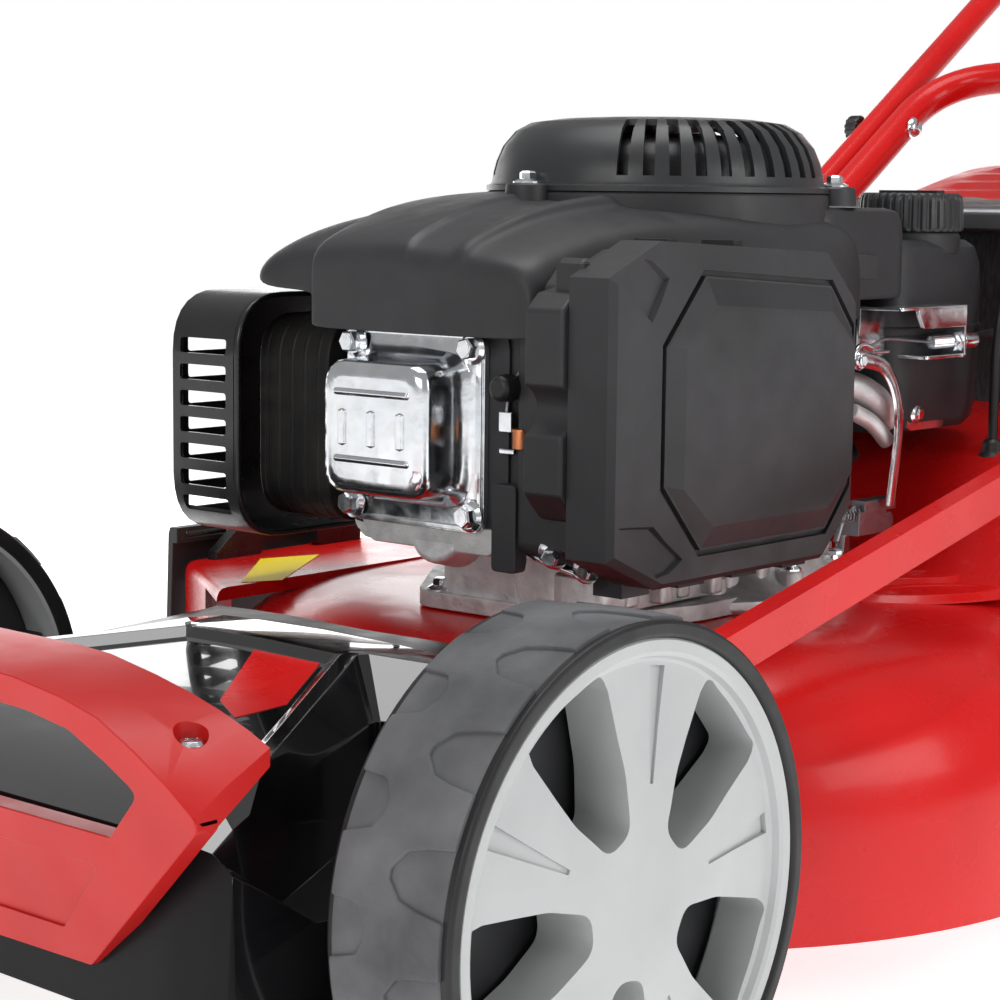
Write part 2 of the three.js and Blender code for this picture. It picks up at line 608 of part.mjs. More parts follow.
function bladeBolt() {
  return join(bar('z', 15, 55, 57.7, [0, CRANK_Y], 12), bar('z', 11, 47, 56, [0, CRANK_Y], 6),
    bar('z', 5.6, 56, 77.6, [0, CRANK_Y], 12));
}

const GEARBOX = { y: 680, pulley: 38, x: 0 };

function driveBelt() {
  const loop = (grow) => {
    const [small, large] = [27.6 + grow, 35.8 + grow];
    const span = GEARBOX.y - CRANK_Y;
    const lean = THREE.MathUtils.radToDeg(Math.acos((small - large) / span));
    const front = repeat(9, (i) => polar(lean + (i / 8) * (360 - 2 * lean), small));
    const rear = repeat(9, (i) => polar(-lean + (i / 8) * 2 * lean, large));
    return [...front.map(([x, y]) => [-y, CRANK_Y + x]), ...rear.map(([x, y]) => [-y, GEARBOX.y + x])];
  };
  return cut(prism('z', loop(4), 82, 86), prism('z', loop(0), 80, 90));
}

function gearbox() {
  const body = prism('z', slab([-42, 42], [650, 712]), 94, 160, 14);
  return cut(body, bar('x', 8.6, -60, 60, [REAR_WHEEL.y, REAR_WHEEL.z], 12));
}

function gearboxPulley() {
  const groove = GEARBOX.pulley - 3.5;
  const profile = [[0, 76], [38, 76], [38, 79], [groove, 81], [groove, 87], [38, 89], [38, 92], [0, 92]];
  return turned(profile, [GEARBOX.x, GEARBOX.y], 20);
}

// ---------------------------------------------------------------- handles, bails and cables
const onHandle = (y) => HANDLE_PIVOT.z + HANDLE_SLOPE * (y - HANDLE_PIVOT.y);

const boltHole = () => bar('x', 4.5, -230, 230, [HANDLE_PIVOT.y, HANDLE_PIVOT.z], 8);

function lowerHandle() {
  const { x, radius } = LOWER_TUBE;
  const corner = [990, onHandle(990)];
  const route = bent([[x, 656, onHandle(656)], [x, ...corner], [-x, ...corner], [-x, 656, onHandle(656)]], 62, 4);
  return cut(sweep(route, radius, 10, radius - 2), boltHole());
}

function upperHandle() {
  const { x, radius } = UPPER_TUBE;
  const leg = (side) => [[side * x, 897, onHandle(897)], [side * x, 1150, onHandle(1150)], [side * x, GRIP.y, GRIP.z]];
  const route = bent([...leg(1), ...leg(-1).reverse()], 66, 4);
  return cut(sweep(route, radius, 10, radius - 2), boltHole());
}

function bail({ y, z, reach, angle }) {
  const [along, up] = polar(angle, reach);
  const side = (s) => [[s * 200.6, y, z], [s * 192, y, z], [s * 192, y + along, z + up]];
  return sweep(bent([...side(1), ...side(-1).reverse()], 9, 3), 4.5, 6);
}

function foldKnob(side) {
  const span = (a, b) => (side > 0 ? [a, b] : [-b, -a]);
  const at = [HANDLE_PIVOT.y, HANDLE_PIVOT.z];
  const lobes = repeat(5, (i) => {
    const [y, z] = polar(90 + i * 72, 13);
    return bar('x', 8, ...span(231, 247), [at[0] + y, at[1] + z], 6);
  });
  return join(bar('x', 15, ...span(223.4, 247), at, 12), bar('x', 4, ...span(168, 226), at, 8),
    bar('x', 7.5, ...span(167, 174), at, 6), ...lobes);
}

// Cable routes keep a hand's slack at the machine and then lie on top of the handle tubes.
const alongHandle = (x, y, lift) => [x, y - lift * 0.545, onHandle(y) + lift * 0.839];
const upGrip = (x, y, lift) => [x, y - lift * 0.707, GRIP.z - (GRIP.y - y) + lift * 0.707];

const BRAKE_CABLE = [
  [103, 517, 309], [101, 540, 309.5], [99.5, 566, 311], [106, 588, 313], [124, 608, 315.5], [150, 628, 318], [172, 656, 322],
  [184, 684, 326], alongHandle(191, 722, 19), alongHandle(192, 800, 19), alongHandle(192, 880, 19),
  alongHandle(193, 927, 19), alongHandle(198, 975, 19), alongHandle(206, 1020, 18), alongHandle(208, 1070, 17),
  alongHandle(208, 1120, 17), upGrip(208, 1195, 17), upGrip(208, 1260, 17), upGrip(208, 1340, 17),
  upGrip(208, 1420, 17),
];
const DRIVE_CABLE = [
  [109, 560, 246], [109, 560, 275], [109, 561, 305], [110, 566, 330], [114, 578, 348], [124, 596, 356],
  [142, 620, 355], [162, 650, 349], [176, 682, 341], alongHandle(182, 722, 21), alongHandle(184, 800, 19),
  alongHandle(184, 880, 19), alongHandle(185, 927, 20), alongHandle(188, 975, 25), alongHandle(198, 1020, 31),
  alongHandle(210, 1070, 26), alongHandle(215, 1120, 17), upGrip(216, 1195, 17), upGrip(216, 1260, 17),
  upGrip(216, 1340, 17), upGrip(216, 1400, 17),
];

function cable(points) {
  const curve = new THREE.CatmullRomCurve3(points.map((p) => new THREE.Vector3(...p)), false, 'centripetal');
  return sweep(curve.getSpacedPoints(46), 3, 6);
}

// ---------------------------------------------------------------- grass bag
function grassBag() {
  const side = (g) => [[648, 165 + g], [720, 165 + g], [760, 150 + g], [1080, 150 + g], [1122 - g, 190],
    [1128 - g, 377.4], [648, 377.4]];
  const inner = side(SKIN).map(([y, z]) => [y === 648 ? 640 : y, z > 377 ? 385 : z]);
  return cut(prism('x', side(0), -150, 150), prism('x', inner, SKIN - 150, 150 - SKIN));
}

function grassBagLid() {
  const top = [[648, 377.8], [1130, 377.8], [1130, 402], [1090, 424], [770, 411], [648, 384.5]];
  const inside = [[651, 370], [1127, 370], [1127, 400], [1089, 420.8], [770, 408], [651, 381.6]];
  return cut(prism('x', top, -152, 152), prism('x', inside, -149, 149));
}

// ---------------------------------------------------------------- assembly
addWheels();
part('deck_shell', deckShell(), LOOK.red);
part('front_fairing', frontFairing(), LOOK.blackGloss);
part('front_handle', frontHandle(), LOOK.redPlastic);
part('discharge_flap', dischargeFlap(), LOOK.blackPlastic);
part('rear_flap', rearFlap(), LOOK.redPlastic);
part('handle_bracket_left', handleBracket(1), LOOK.red);
part('handle_bracket_right', handleBracket(-1), LOOK.red);
part('front_axle', frontAxle(), LOOK.steel);
part('rear_axle', rearAxle(), LOOK.steel);
part('height_lever', heightLever(), LOOK.steel);
part('height_link', heightLink(), LOOK.red);
part('engine_base', engineBase(), LOOK.aluminium);
part('cylinder_block', cylinderBlock(), LOOK.aluminium);
part('valve_cover', valveCover(), LOOK.zinc);
corners().forEach((corner, i) => part(`valve_cover_bolt_${i + 1}`, flangedBolt(corner), LOOK.zinc));
part('blower_housing', blowerHousing(), LOOK.blackPlastic);
part('recoil_cover', recoilCover(), LOOK.blackPlastic);
part('starter_pulley', turned([[0, 402], [70, 402], [64, 408], [70, 414], [0, 414]], [0, CRANK_Y], 20), LOOK.blackPlastic);
part('starter_grip', starterGrip(), LOOK.blackPlastic);
part('muffler', muffler(), LOOK.steel);
part('muffler_guard', mufflerGuard(), LOOK.blackGloss);
part('air_filter_base', airFilterBase(), LOOK.blackPlastic);
part('air_filter_cover', airFilterCover(), LOOK.blackPlastic);
part('air_filter_element', box([99.8, 126], [165, 320], [226, 344]), LOOK.fabric);
part('fuel_tank', fuelTank(), LOOK.blackPlastic);
part('fuel_cap', fuelCap(), LOOK.blackPlastic);
part('carburettor', carburettor(), LOOK.aluminium);
part('spark_plug', sparkPlug(), LOOK.blackPlastic);
part('dipstick', dipstick(), LOOK.blackPlastic);
part('cable_bracket', cableBracket(), LOOK.zinc);
part('governor_lever', governorLever(), LOOK.zinc);
part('crankshaft', crankshaft(), LOOK.steel);
part('flywheel', flywheel(), LOOK.aluminium);
part('blade_adapter', bladeAdapter(), LOOK.steel);
part('blade', blade(), LOOK.steel);
part('blade_bolt', bladeBolt(), LOOK.steel);
part('drive_belt', driveBelt(), LOOK.rubber);
part('gearbox', gearbox(), LOOK.aluminium);
part('gearbox_pulley', gearboxPulley(), LOOK.steel);
part('lower_handle', lowerHandle(), LOOK.red);
part('upper_handle', upperHandle(), LOOK.red);
part('brake_bail', bail(BRAKE_PIVOT), LOOK.red);
part('drive_bail', bail(DRIVE_PIVOT), LOOK.blackPlastic);
part('fold_knob_left', foldKnob(1), LOOK.blackPlastic);
part('fold_knob_right', foldKnob(-1), LOOK.blackPlastic);
part('brake_cable', cable(BRAKE_CABLE), LOOK.rubber);
part('drive_cable', cable(DRIVE_CABLE), LOOK.rubber);
part('grass_bag', grassBag(), LOOK.fabric);
part('grass_bag_lid', grassBagLid(), LOOK.blackPlastic);

const footprint = new THREE.Box3().setFromObject(mower);
const middle = footprint.getCenter(new THREE.Vector3());
mower.position.set(-middle.x, -middle.y, -footprint.min.z);

const lawnMower = new THREE.Group();
lawnMower.add(mower);
export default lawnMower;
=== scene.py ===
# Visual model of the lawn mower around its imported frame, with a plain studio and the camera.
# Lengths in the modelling code are millimetres in the mower frame: X to the mower's left, Y rearwards
# from the front axle, Z up from the ground. at() turns them into the row frame in metres.
import math

import bmesh
import bpy
from mathutils import Matrix, Vector


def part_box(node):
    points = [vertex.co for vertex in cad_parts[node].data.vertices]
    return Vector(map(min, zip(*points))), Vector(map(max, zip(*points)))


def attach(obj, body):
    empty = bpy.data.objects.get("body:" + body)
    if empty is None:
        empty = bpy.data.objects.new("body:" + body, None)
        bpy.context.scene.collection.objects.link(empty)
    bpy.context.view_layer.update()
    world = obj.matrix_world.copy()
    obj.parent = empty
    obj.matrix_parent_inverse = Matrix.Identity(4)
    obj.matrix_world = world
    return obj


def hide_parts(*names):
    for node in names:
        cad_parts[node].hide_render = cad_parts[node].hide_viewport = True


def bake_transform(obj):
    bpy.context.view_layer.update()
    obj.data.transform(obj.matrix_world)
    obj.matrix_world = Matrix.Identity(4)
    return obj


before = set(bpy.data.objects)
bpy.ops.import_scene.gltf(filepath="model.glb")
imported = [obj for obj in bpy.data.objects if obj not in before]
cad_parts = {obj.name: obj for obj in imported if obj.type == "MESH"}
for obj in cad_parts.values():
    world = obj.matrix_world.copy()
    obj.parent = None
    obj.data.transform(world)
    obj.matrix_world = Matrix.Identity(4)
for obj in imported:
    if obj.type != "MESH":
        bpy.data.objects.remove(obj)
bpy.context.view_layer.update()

CRANK_Y = 361.0
CRANK_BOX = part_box("crankshaft")
SHIFT = (CRANK_BOX[0][1] + CRANK_BOX[1][1]) / 2 - CRANK_Y / 1000


def at(x, y, z):
    """Mower frame in millimetres to row frame in metres."""
    return Vector((x / 1000, y / 1000 + SHIFT, z / 1000))


# ---------------------------------------------------------------- camera
CAMERA_PLACE = (815.98, -715.24, 390.46)
CAMERA_AZIMUTH, CAMERA_ELEVATION, CAMERA_ROLL = 40.875, 7.329, 0.638
LENS = 84.63
SENSOR_WIDTH = 36


def make_camera():
    azimuth, elevation, roll = (math.radians(a) for a in (CAMERA_AZIMUTH, CAMERA_ELEVATION, CAMERA_ROLL))
    back = Vector((
        math.sin(azimuth) * math.cos(elevation),
        -math.cos(azimuth) * math.cos(elevation),
        math.sin(elevation),
    ))
    level = Vector((math.cos(azimuth), math.sin(azimuth), 0))
    rise = back.cross(level)
    right = math.cos(roll) * level + math.sin(roll) * rise
    up = math.cos(roll) * rise - math.sin(roll) * level
    data = bpy.data.cameras.new("camera")
    data.lens = LENS
    data.sensor_width = SENSOR_WIDTH
    data.clip_start = 0.01
    camera = bpy.data.objects.new("camera", data)
    turn = Matrix((right, up, back)).transposed().to_4x4()
    camera.matrix_world = Matrix.Translation(at(*CAMERA_PLACE)) @ turn
    bpy.context.scene.collection.objects.link(camera)
    bpy.context.scene.camera = camera


# ---------------------------------------------------------------- materials
def shader(name, color, rough, metal=0.0, coat=0.0, coat_rough=0.05, specular=0.5, sheen=0.0):
    material = bpy.data.materials.new(name)
    material.use_nodes = True
    node = material.node_tree.nodes["Principled BSDF"]
    node.inputs["Base Color"].default_value = (*color, 1)
    node.inputs["Roughness"].default_value = rough
    node.inputs["Metallic"].default_value = metal
    node.inputs["Coat Weight"].default_value = coat
    node.inputs["Coat Roughness"].default_value = coat_rough
    node.inputs["Specular IOR Level"].default_value = specular
    node.inputs["Sheen Weight"].default_value = sheen
    material.diffuse_color = (*color, 1)
    return material


def noise(material, scale, detail=3.0, stretch=(1, 1, 1)):
    """A noise value in object space, in cells per metre."""
    tree = material.node_tree
    coords = tree.nodes.new("ShaderNodeTexCoord")
    mapping = tree.nodes.new("ShaderNodeMapping")
    mapping.inputs["Scale"].default_value = stretch
    texture = tree.nodes.new("ShaderNodeTexNoise")
    texture.inputs["Scale"].default_value = scale
    texture.inputs["Detail"].default_value = detail
    tree.links.new(coords.outputs["Object"], mapping.inputs["Vector"])
    tree.links.new(mapping.outputs["Vector"], texture.inputs["Vector"])
    return texture.outputs["Fac"]


def spread(material, value, low, high, source=(0.3, 0.7)):
    """Maps a texture value to a range."""
    tree = material.node_tree
    remap = tree.nodes.new("ShaderNodeMapRange")
    remap.inputs["From Min"].default_value = source[0]
    remap.inputs["From Max"].default_value = source[1]
    remap.inputs["To Min"].default_value = low
    remap.inputs["To Max"].default_value = high
    tree.links.new(value, remap.inputs["Value"])
    return remap.outputs["Result"]


def blend_colors(material, value, first, second, source=(0.3, 0.7)):
    tree = material.node_tree
    mix = tree.nodes.new("ShaderNodeMix")
    mix.data_type = "RGBA"
    mix.inputs[6].default_value = (*first, 1)
    mix.inputs[7].default_value = (*second, 1)
    tree.links.new(spread(material, value, 0, 1, source), mix.inputs[0])
    return mix.outputs[2]


def drive(material, socket, value):
    material.node_tree.links.new(value, material.node_tree.nodes["Principled BSDF"].inputs[socket])


def bumpy(material, *layers):
    """Bump from (height value, distance in metres) layers, one on top of the other."""
    tree = material.node_tree
    normal = None
    for value, distance in layers:
        bump = tree.nodes.new("ShaderNodeBump")
        bump.inputs["Strength"].default_value = 1.0
        bump.inputs["Distance"].default_value = distance
        tree.links.new(value, bump.inputs["Height"])
        if normal:
            tree.links.new(normal, bump.inputs["Normal"])
        normal = bump.outputs["Normal"]
    drive(material, "Normal", normal)


def surface(name, color, rough, rough_noise=None, tones=None, bumps=(), **gloss):
    """Shader whose roughness, colour and bump can each follow a noise.

    rough_noise is (grain, low, high), tones is (grain, first colour, second colour) and bumps are
    (grain, metres). A grain is (cells per metre, detail) and, where it is drawn out, its stretch.
    """
    material = shader(name, color, rough, **gloss)
    if rough_noise:
        grain, low, high = rough_noise
        drive(material, "Roughness", spread(material, noise(material, *grain), low, high))
    if tones:
        grain, first, second = tones
        drive(material, "Base Color", blend_colors(material, noise(material, *grain), first, second))
    if bumps:
        bumpy(material, *[(noise(material, *grain), depth) for grain, depth in bumps])
    return material


def woven(name, low, high):
    """Coarse cloth: two crossed thread directions, slack folds and a little dust."""
    material = shader(name, high, 0.9, specular=0.2, sheen=0.3)
    threads = noise(material, 420, 2, (1, 1, 0.25))
    crossed = noise(material, 420, 2, (0.25, 0.25, 1))
    drive(material, "Base Color", blend_colors(material, threads, low, high, (0.35, 0.65)))
    drive(material, "Roughness", spread(material, noise(material, 8, 3), 0.82, 0.95))
    bumpy(material, (threads, 0.0003), (crossed, 0.0003), (noise(material, 9, 2), 0.003))
    return material


LOOK = {
    "red": surface("red_paint", (0.62, 0.006, 0.006), 0.30, ((26, 4), 0.22, 0.34),
                   ((9, 2), (0.56, 0.004, 0.005), (0.68, 0.010, 0.009)),
                   [((420, 2), 0.00003), ((60, 2), 0.00008)], coat=0.12, coat_rough=0.08, specular=0.26),
    "red_plastic": surface("red_plastic", (0.48, 0.011, 0.010), 0.36, ((40, 4), 0.28, 0.42),
                           ((14, 3), (0.45, 0.009, 0.008), (0.52, 0.014, 0.012)),
                           [((1800, 2), 0.00002), ((30, 2), 0.0001)], specular=0.26),
    "black_gloss": surface("black_gloss", (0.006, 0.006, 0.007), 0.10, ((30, 4), 0.07, 0.16), None,
                           [((35, 2), 0.00012), ((900, 2), 0.00001)], coat=1.0, coat_rough=0.02),
    "front_plastic": surface("front_plastic", (0.009, 0.009, 0.010), 0.34, ((45, 4), 0.28, 0.40), None,
                             [((1400, 2), 0.00003), ((30, 2), 0.0001)], specular=0.10),
    "black_plastic": surface("black_plastic", (0.022, 0.022, 0.024), 0.5, ((55, 4), 0.40, 0.58),
                             ((12, 3), (0.018, 0.018, 0.020), (0.030, 0.030, 0.033)),
                             [((1500, 3), 0.00008), ((40, 2), 0.00012)], specular=0.45),
    "smooth_plastic": surface("smooth_plastic", (0.024, 0.025, 0.027), 0.38, ((45, 4), 0.32, 0.46), None,
                              [((1400, 2), 0.00004), ((30, 2), 0.0001)]),
    "black_paint": surface("black_paint", (0.010, 0.010, 0.011), 0.3, ((70, 4), 0.24, 0.40), None,
                           [((700, 2), 0.00004)], coat=0.3, coat_rough=0.15),
    "tyre_rubber": surface("tyre_rubber", (0.045, 0.046, 0.049), 0.75, ((80, 4), 0.60, 0.85),
                           ((22, 5), (0.060, 0.061, 0.066), (0.150, 0.152, 0.160)),
                           [((900, 3), 0.00012), ((120, 3), 0.0002)], specular=0.35),
    "sidewall": surface("sidewall_rubber", (0.012, 0.012, 0.013), 0.5, ((60, 4), 0.42, 0.60), None,
                        [((900, 2), 0.00005)], specular=0.4),
    "wheel_grey": surface("wheel_grey", (0.47, 0.48, 0.48), 0.42, ((50, 4), 0.36, 0.50),
                          ((16, 4), (0.41, 0.425, 0.425), (0.48, 0.495, 0.495)),
                          [((1300, 2), 0.00003), ((25, 2), 0.00015)]),
    "aluminium": surface("cast_aluminium", (0.74, 0.74, 0.74), 0.5, ((140, 4), 0.44, 0.64),
                         ((90, 5), (0.60, 0.60, 0.60), (0.82, 0.82, 0.82)), [((650, 4), 0.00025)],
                         metal=0.85),
    "zinc": surface("zinc_plate", (0.80, 0.83, 0.86), 0.16, ((120, 5), 0.10, 0.26),
                    ((30, 4), (0.72, 0.76, 0.80), (0.86, 0.87, 0.88)),
                    [((45, 3), 0.0003), ((500, 2), 0.00002)], metal=1.0),
    "steel": surface("steel", (0.34, 0.35, 0.37), 0.38, ((200, 4, (1, 1, 6)), 0.28, 0.50), None,
                     [((300, 4, (1, 1, 5)), 0.00006)], metal=1.0),
    # Near-black steel for the muffler can inside the guard, much darker than the plain steel, with a random
    # darker and lighter tone.
    "sooty": surface("near_black_can_steel", (0.035, 0.033, 0.032), 0.55, None,
                     ((40, 5), (0.010, 0.010, 0.010), (0.032, 0.029, 0.027)), [((400, 4), 0.0002)],
                     metal=0.6),
    "sheath": surface("cable_sheath", (0.012, 0.012, 0.013), 0.42, ((200, 3), 0.34, 0.52), None,
                      [((800, 2), 0.00003)]),
    "paper": surface("filter_paper", (0.55, 0.45, 0.25), 0.9, None,
                     ((300, 4), (0.48, 0.38, 0.2), (0.62, 0.52, 0.32)), [((900, 3), 0.0002)]),
    "label": surface("label_yellow", (0.92, 0.70, 0.005), 0.55, ((90, 3), 0.50, 0.62), specular=0.15),
    "copper": surface("copper_wire", (0.75, 0.28, 0.12), 0.35, None, None, [((900, 2, (1, 1, 4)), 0.0002)],
                      metal=1.0),
    "fabric": woven("bag_fabric", (0.020, 0.020, 0.022), (0.045, 0.046, 0.048)),
}

# The material slot each look belongs to, where the slot isn't named after the look; make() works it out for
# each piece but does not keep it.
SLOT_OF = {
    "red": "red_paint",
    "label": "red_paint",
    "smooth_plastic": "black_plastic",
    "aluminium": "cast_aluminium",
    "zinc": "zinc_plate",
    "sooty": "steel",
    "copper": "steel",
    "sheath": "cable_sheath",
    "fabric": "bag_fabric",
    "front_plastic": "black_plastic",
}

# Every CAD node's finish; a detailed piece may replace the node further down.
NODE_LOOK = {
    "red": ["deck_shell", "handle_bracket_left", "handle_bracket_right", "height_link", "lower_handle",
            "upper_handle", "brake_bail"],
    "red_plastic": ["front_handle", "grass_bag_lid"],
    "black_gloss": ["front_fairing"],
    "black_plastic": ["discharge_flap", "blower_housing", "recoil_cover", "starter_pulley", "starter_grip",
                      "air_filter_base", "air_filter_cover", "fuel_tank", "fuel_cap", "spark_plug",
                      "dipstick", "drive_bail", "fold_knob_left", "fold_knob_right", "rear_flap"],
    "black_paint": ["muffler_guard", "front_axle", "rear_axle", "height_lever"],
    "tyre_rubber": ["front_tyre_left", "front_tyre_right", "rear_tyre_left", "rear_tyre_right",
                    "drive_belt"],
    "wheel_grey": ["front_rim_left", "front_rim_right", "rear_rim_left", "rear_rim_right"],
    "aluminium": ["engine_base", "cylinder_block", "carburettor", "gearbox", "flywheel"],
    "zinc": ["valve_cover", "valve_cover_bolt_1", "valve_cover_bolt_2", "valve_cover_bolt_3",
             "valve_cover_bolt_4", "cable_bracket", "governor_lever"],
    "steel": ["crankshaft", "blade_adapter", "blade", "blade_bolt", "gearbox_pulley"],
    "sooty": ["muffler"],
    "sheath": ["brake_cable", "drive_cable"],
    "paper": ["air_filter_element"],
    "fabric": ["grass_bag"],
}


def paint_frame():
    for look, nodes in NODE_LOOK.items():
        for node in nodes:
            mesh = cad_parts[node].data
            mesh.materials.clear()
            mesh.materials.append(LOOK[look])


# ---------------------------------------------------------------- mesh tools
# A part is (points, faces) or (points, faces, material number), in mower millimetres.
SWAP = {
    "x": lambda a, b, c: (c, a, b),
    "y": lambda a, b, c: (a, c, b),
    "z": lambda a, b, c: (a, b, c),
}


def polar(angle, radius):
    return radius * math.cos(math.radians(angle)), radius * math.sin(math.radians(angle))


def fillet(outline, radius, steps=4):
    """Rounds the corners of a closed 2D outline; radius is one number or one per corner."""
    count = len(outline)
    radii = radius if isinstance(radius, (list, tuple)) else [radius] * count
    rounded = []
    for i in range(count):
        here = Vector(outline[i])
        before = Vector(outline[i - 1]) - here
        after = Vector(outline[(i + 1) % count]) - here
        half = before.angle(after) / 2
        reach = min(radii[i] / math.tan(half), before.length * 0.49, after.length * 0.49)
        if reach < 0.01 or half > 1.55:
            rounded.append(tuple(here))
            continue
        start = here + before.normalized() * reach
        end = here + after.normalized() * reach
        for k in range(steps + 1):
            t = k / steps
            rounded.append(tuple((1 - t) ** 2 * start + 2 * t * (1 - t) * here + t * t * end))
    return rounded


def prism(axis, outline, low, high):
    count = len(outline)
    turn = SWAP[axis]
    points = [turn(a, b, low) for a, b in outline] + [turn(a, b, high) for a, b in outline]
    faces = [list(range(count))[::-1], list(range(count, 2 * count))]
    for i in range(count):
        j = (i + 1) % count
        faces.append([i, j, count + j, count + i])
    return points, faces


def slab(xs, ys):
    return [(xs[0], ys[0]), (xs[1], ys[0]), (xs[1], ys[1]), (xs[0], ys[1])]


def box(xs, ys, zs):
    return prism("z", slab(xs, ys), *zs)


def loft(rings, caps=True):
    """Skin through closed rings with the same number of points."""
    count = len(rings[0])
    points = [p for ring in rings for p in ring]
    faces = []
    for r in range(len(rings) - 1):
        for i in range(count):
            j = (i + 1) % count
            faces.append([r * count + i, r * count + j, (r + 1) * count + j, (r + 1) * count + i])
    if caps:
        faces.append(list(range(count))[::-1])
        faces.append([(len(rings) - 1) * count + i for i in range(count)])
    return points, faces


def lathe(profile, centre, axis="z", segments=64):
    """Turns a closed profile of (radius, height) about an axis through centre."""
    turn = SWAP[axis]
    count = len(profile)
    points = []
    for s in range(segments):
        c, d = polar(360 * s / segments, 1)
        points += [turn(centre[0] + r * c, centre[1] + r * d, h) for r, h in profile]
    faces = []
    for s in range(segments):
        n = (s + 1) % segments
        for i in range(count):
            j = (i + 1) % count
            if profile[i][0] < 0.001 and profile[j][0] < 0.001:
                continue
            faces.append([s * count + i, n * count + i, n * count + j, s * count + j])
    return points, faces


def upright(profile, segments):
    """A part turned about the upright axis through the origin."""
    return lathe(profile, (0, 0), "z", segments)


def span(near, far, side):
    """Range from near to far on one side of the mower, lower end first."""
    return sorted((near * side, far * side))


def round_bar(axis, radius, low, high, centre, edge=0.6, segments=28):
    edge = min(edge, radius * 0.5)
    profile = [(0, low), (radius - edge, low), (radius, low + edge), (radius, high - edge),
               (radius - edge, high), (0, high)]
    return lathe(profile, centre, axis, segments)


def curve(points, steps=6):
    """Smooth path through points (centripetal Catmull-Rom)."""
    knots = [Vector(p) for p in points]
    knots = [2 * knots[0] - knots[1]] + knots + [2 * knots[-1] - knots[-2]]
    path = []
    for i in range(1, len(knots) - 2):
        p0, p1, p2, p3 = knots[i - 1:i + 3]
        t1 = max((p1 - p0).length, 0.001) ** 0.5
        t2 = t1 + max((p2 - p1).length, 0.001) ** 0.5
        t3 = t2 + max((p3 - p2).length, 0.001) ** 0.5
        for k in range(steps):
            t = t1 + (t2 - t1) * k / steps
            a1 = p0 * (t1 - t) / t1 + p1 * t / t1
            a2 = p1 * (t2 - t) / (t2 - t1) + p2 * (t - t1) / (t2 - t1)
            a3 = p2 * (t3 - t) / (t3 - t2) + p3 * (t - t2) / (t3 - t2)
            b1 = a1 * (t2 - t) / t2 + a2 * t / t2
            b2 = a2 * (t3 - t) / (t3 - t1) + a3 * (t - t1) / (t3 - t1)
            path.append(b1 * (t2 - t) / (t2 - t1) + b2 * (t - t1) / (t2 - t1))
    path.append(knots[-2])
    return path


def bent(points, radius, steps=10):
    """Straight runs with round corners."""
    corners = [Vector(p) for p in points]
    path = [corners[0]]
    for i in range(1, len(corners) - 1):
        before = corners[i - 1] - corners[i]
        after = corners[i + 1] - corners[i]
        reach = min(radius / math.tan(before.angle(after) / 2), before.length * 0.48, after.length * 0.48)
        start = corners[i] + before.normalized() * reach
        end = corners[i] + after.normalized() * reach
        for k in range(steps + 1):
            t = k / steps
            path.append((1 - t) ** 2 * start + 2 * t * (1 - t) * corners[i] + t * t * end)
    path.append(corners[-1])
    return path


def tube(path, radius, sides=16, flat=1.0, wide=None):
    """Round or flattened rod along a path; radius may be a list, one per point."""
    path = [Vector(p) for p in path]
    radii = radius if isinstance(radius, (list, tuple)) else [radius] * len(path)
    tangents = []
    for i in range(len(path)):
        tangents.append((path[min(i + 1, len(path) - 1)] - path[max(i - 1, 0)]).normalized())
    side = tangents[0].orthogonal().normalized() if wide is None else Vector(wide)
    rings = []
    for place, tangent, r in zip(path, tangents, radii):
        side = (side - tangent * side.dot(tangent)).normalized()
        other = tangent.cross(side)
        ring = []
        for k in range(sides):
            a, b = polar(360 * k / sides, r)
            ring.append(tuple(place + side * a + other * b * flat))
        rings.append(ring)
    return loft(rings)


def placed(part, origin, direction, spin=0.0):
    """Moves a part made along Z at the origin to stand along a direction."""
    turn = Vector(direction).to_track_quat("Z", "Y").to_matrix() @ Matrix.Rotation(math.radians(
        spin), 3, "Z")
    points = [tuple(Vector(origin) + turn @ Vector(p)) for p in part[0]]
    return (points, *part[1:])


def shifted(part, x=0.0, y=0.0, z=0.0):
    return ([(p[0] + x, p[1] + y, p[2] + z) for p in part[0]], *part[1:])


def tinted(part, number):
    return part[0], part[1], number


def hexagon(across, low, high):
    """Bolt head with chamfered top corners."""
    r = across / math.sqrt(3)
    rings = [[(*polar(60 * i, r), low) for i in range(6)],
             [(*polar(60 * i, r), high - 0.9) for i in range(6)],
             [(*polar(60 * i, r - 0.9), high) for i in range(6)]]
    return loft(rings)


def flange_bolt(origin, direction, across=8.0, height=6.0, washer=8.5, spin=0.0):
    skirt = upright([(0, 0), (washer, 0), (washer, 0.9), (across * 0.62, 2.4), (0, 2.4)], 28)
    dish = upright([(0, height - 0.4), (across * 0.33, height - 0.4), (across * 0.38, height + 0.25),
                    (0, height + 0.25)], 16)
    return [placed(p, origin, direction, spin) for p in (skirt, hexagon(across, 1.6, height), dish)]


def raw(name, parts, looks=()):
    points, faces, kinds = [], [], []
    for part in parts:
        faces += [[i + len(points) for i in face] for face in part[1]]
        kinds += [part[2] if len(part) > 2 else 0] * len(part[1])
        points += part[0]
    mesh = bpy.data.meshes.new(name)
    mesh.from_pydata([at(*p) for p in points], [], faces)
    for look in looks:
        mesh.materials.append(LOOK[look])
    mesh.polygons.foreach_set("material_index", kinds)
    work = bmesh.new()
    work.from_mesh(mesh)
    bmesh.ops.remove_doubles(work, verts=work.verts, dist=0.00001)
    bmesh.ops.dissolve_degenerate(work, edges=work.edges, dist=0.000005)
    bmesh.ops.recalc_face_normals(work, faces=work.faces)
    work.to_mesh(mesh)
    work.free()
    piece = bpy.data.objects.new(name, mesh)
    bpy.context.scene.collection.objects.link(piece)
    return piece


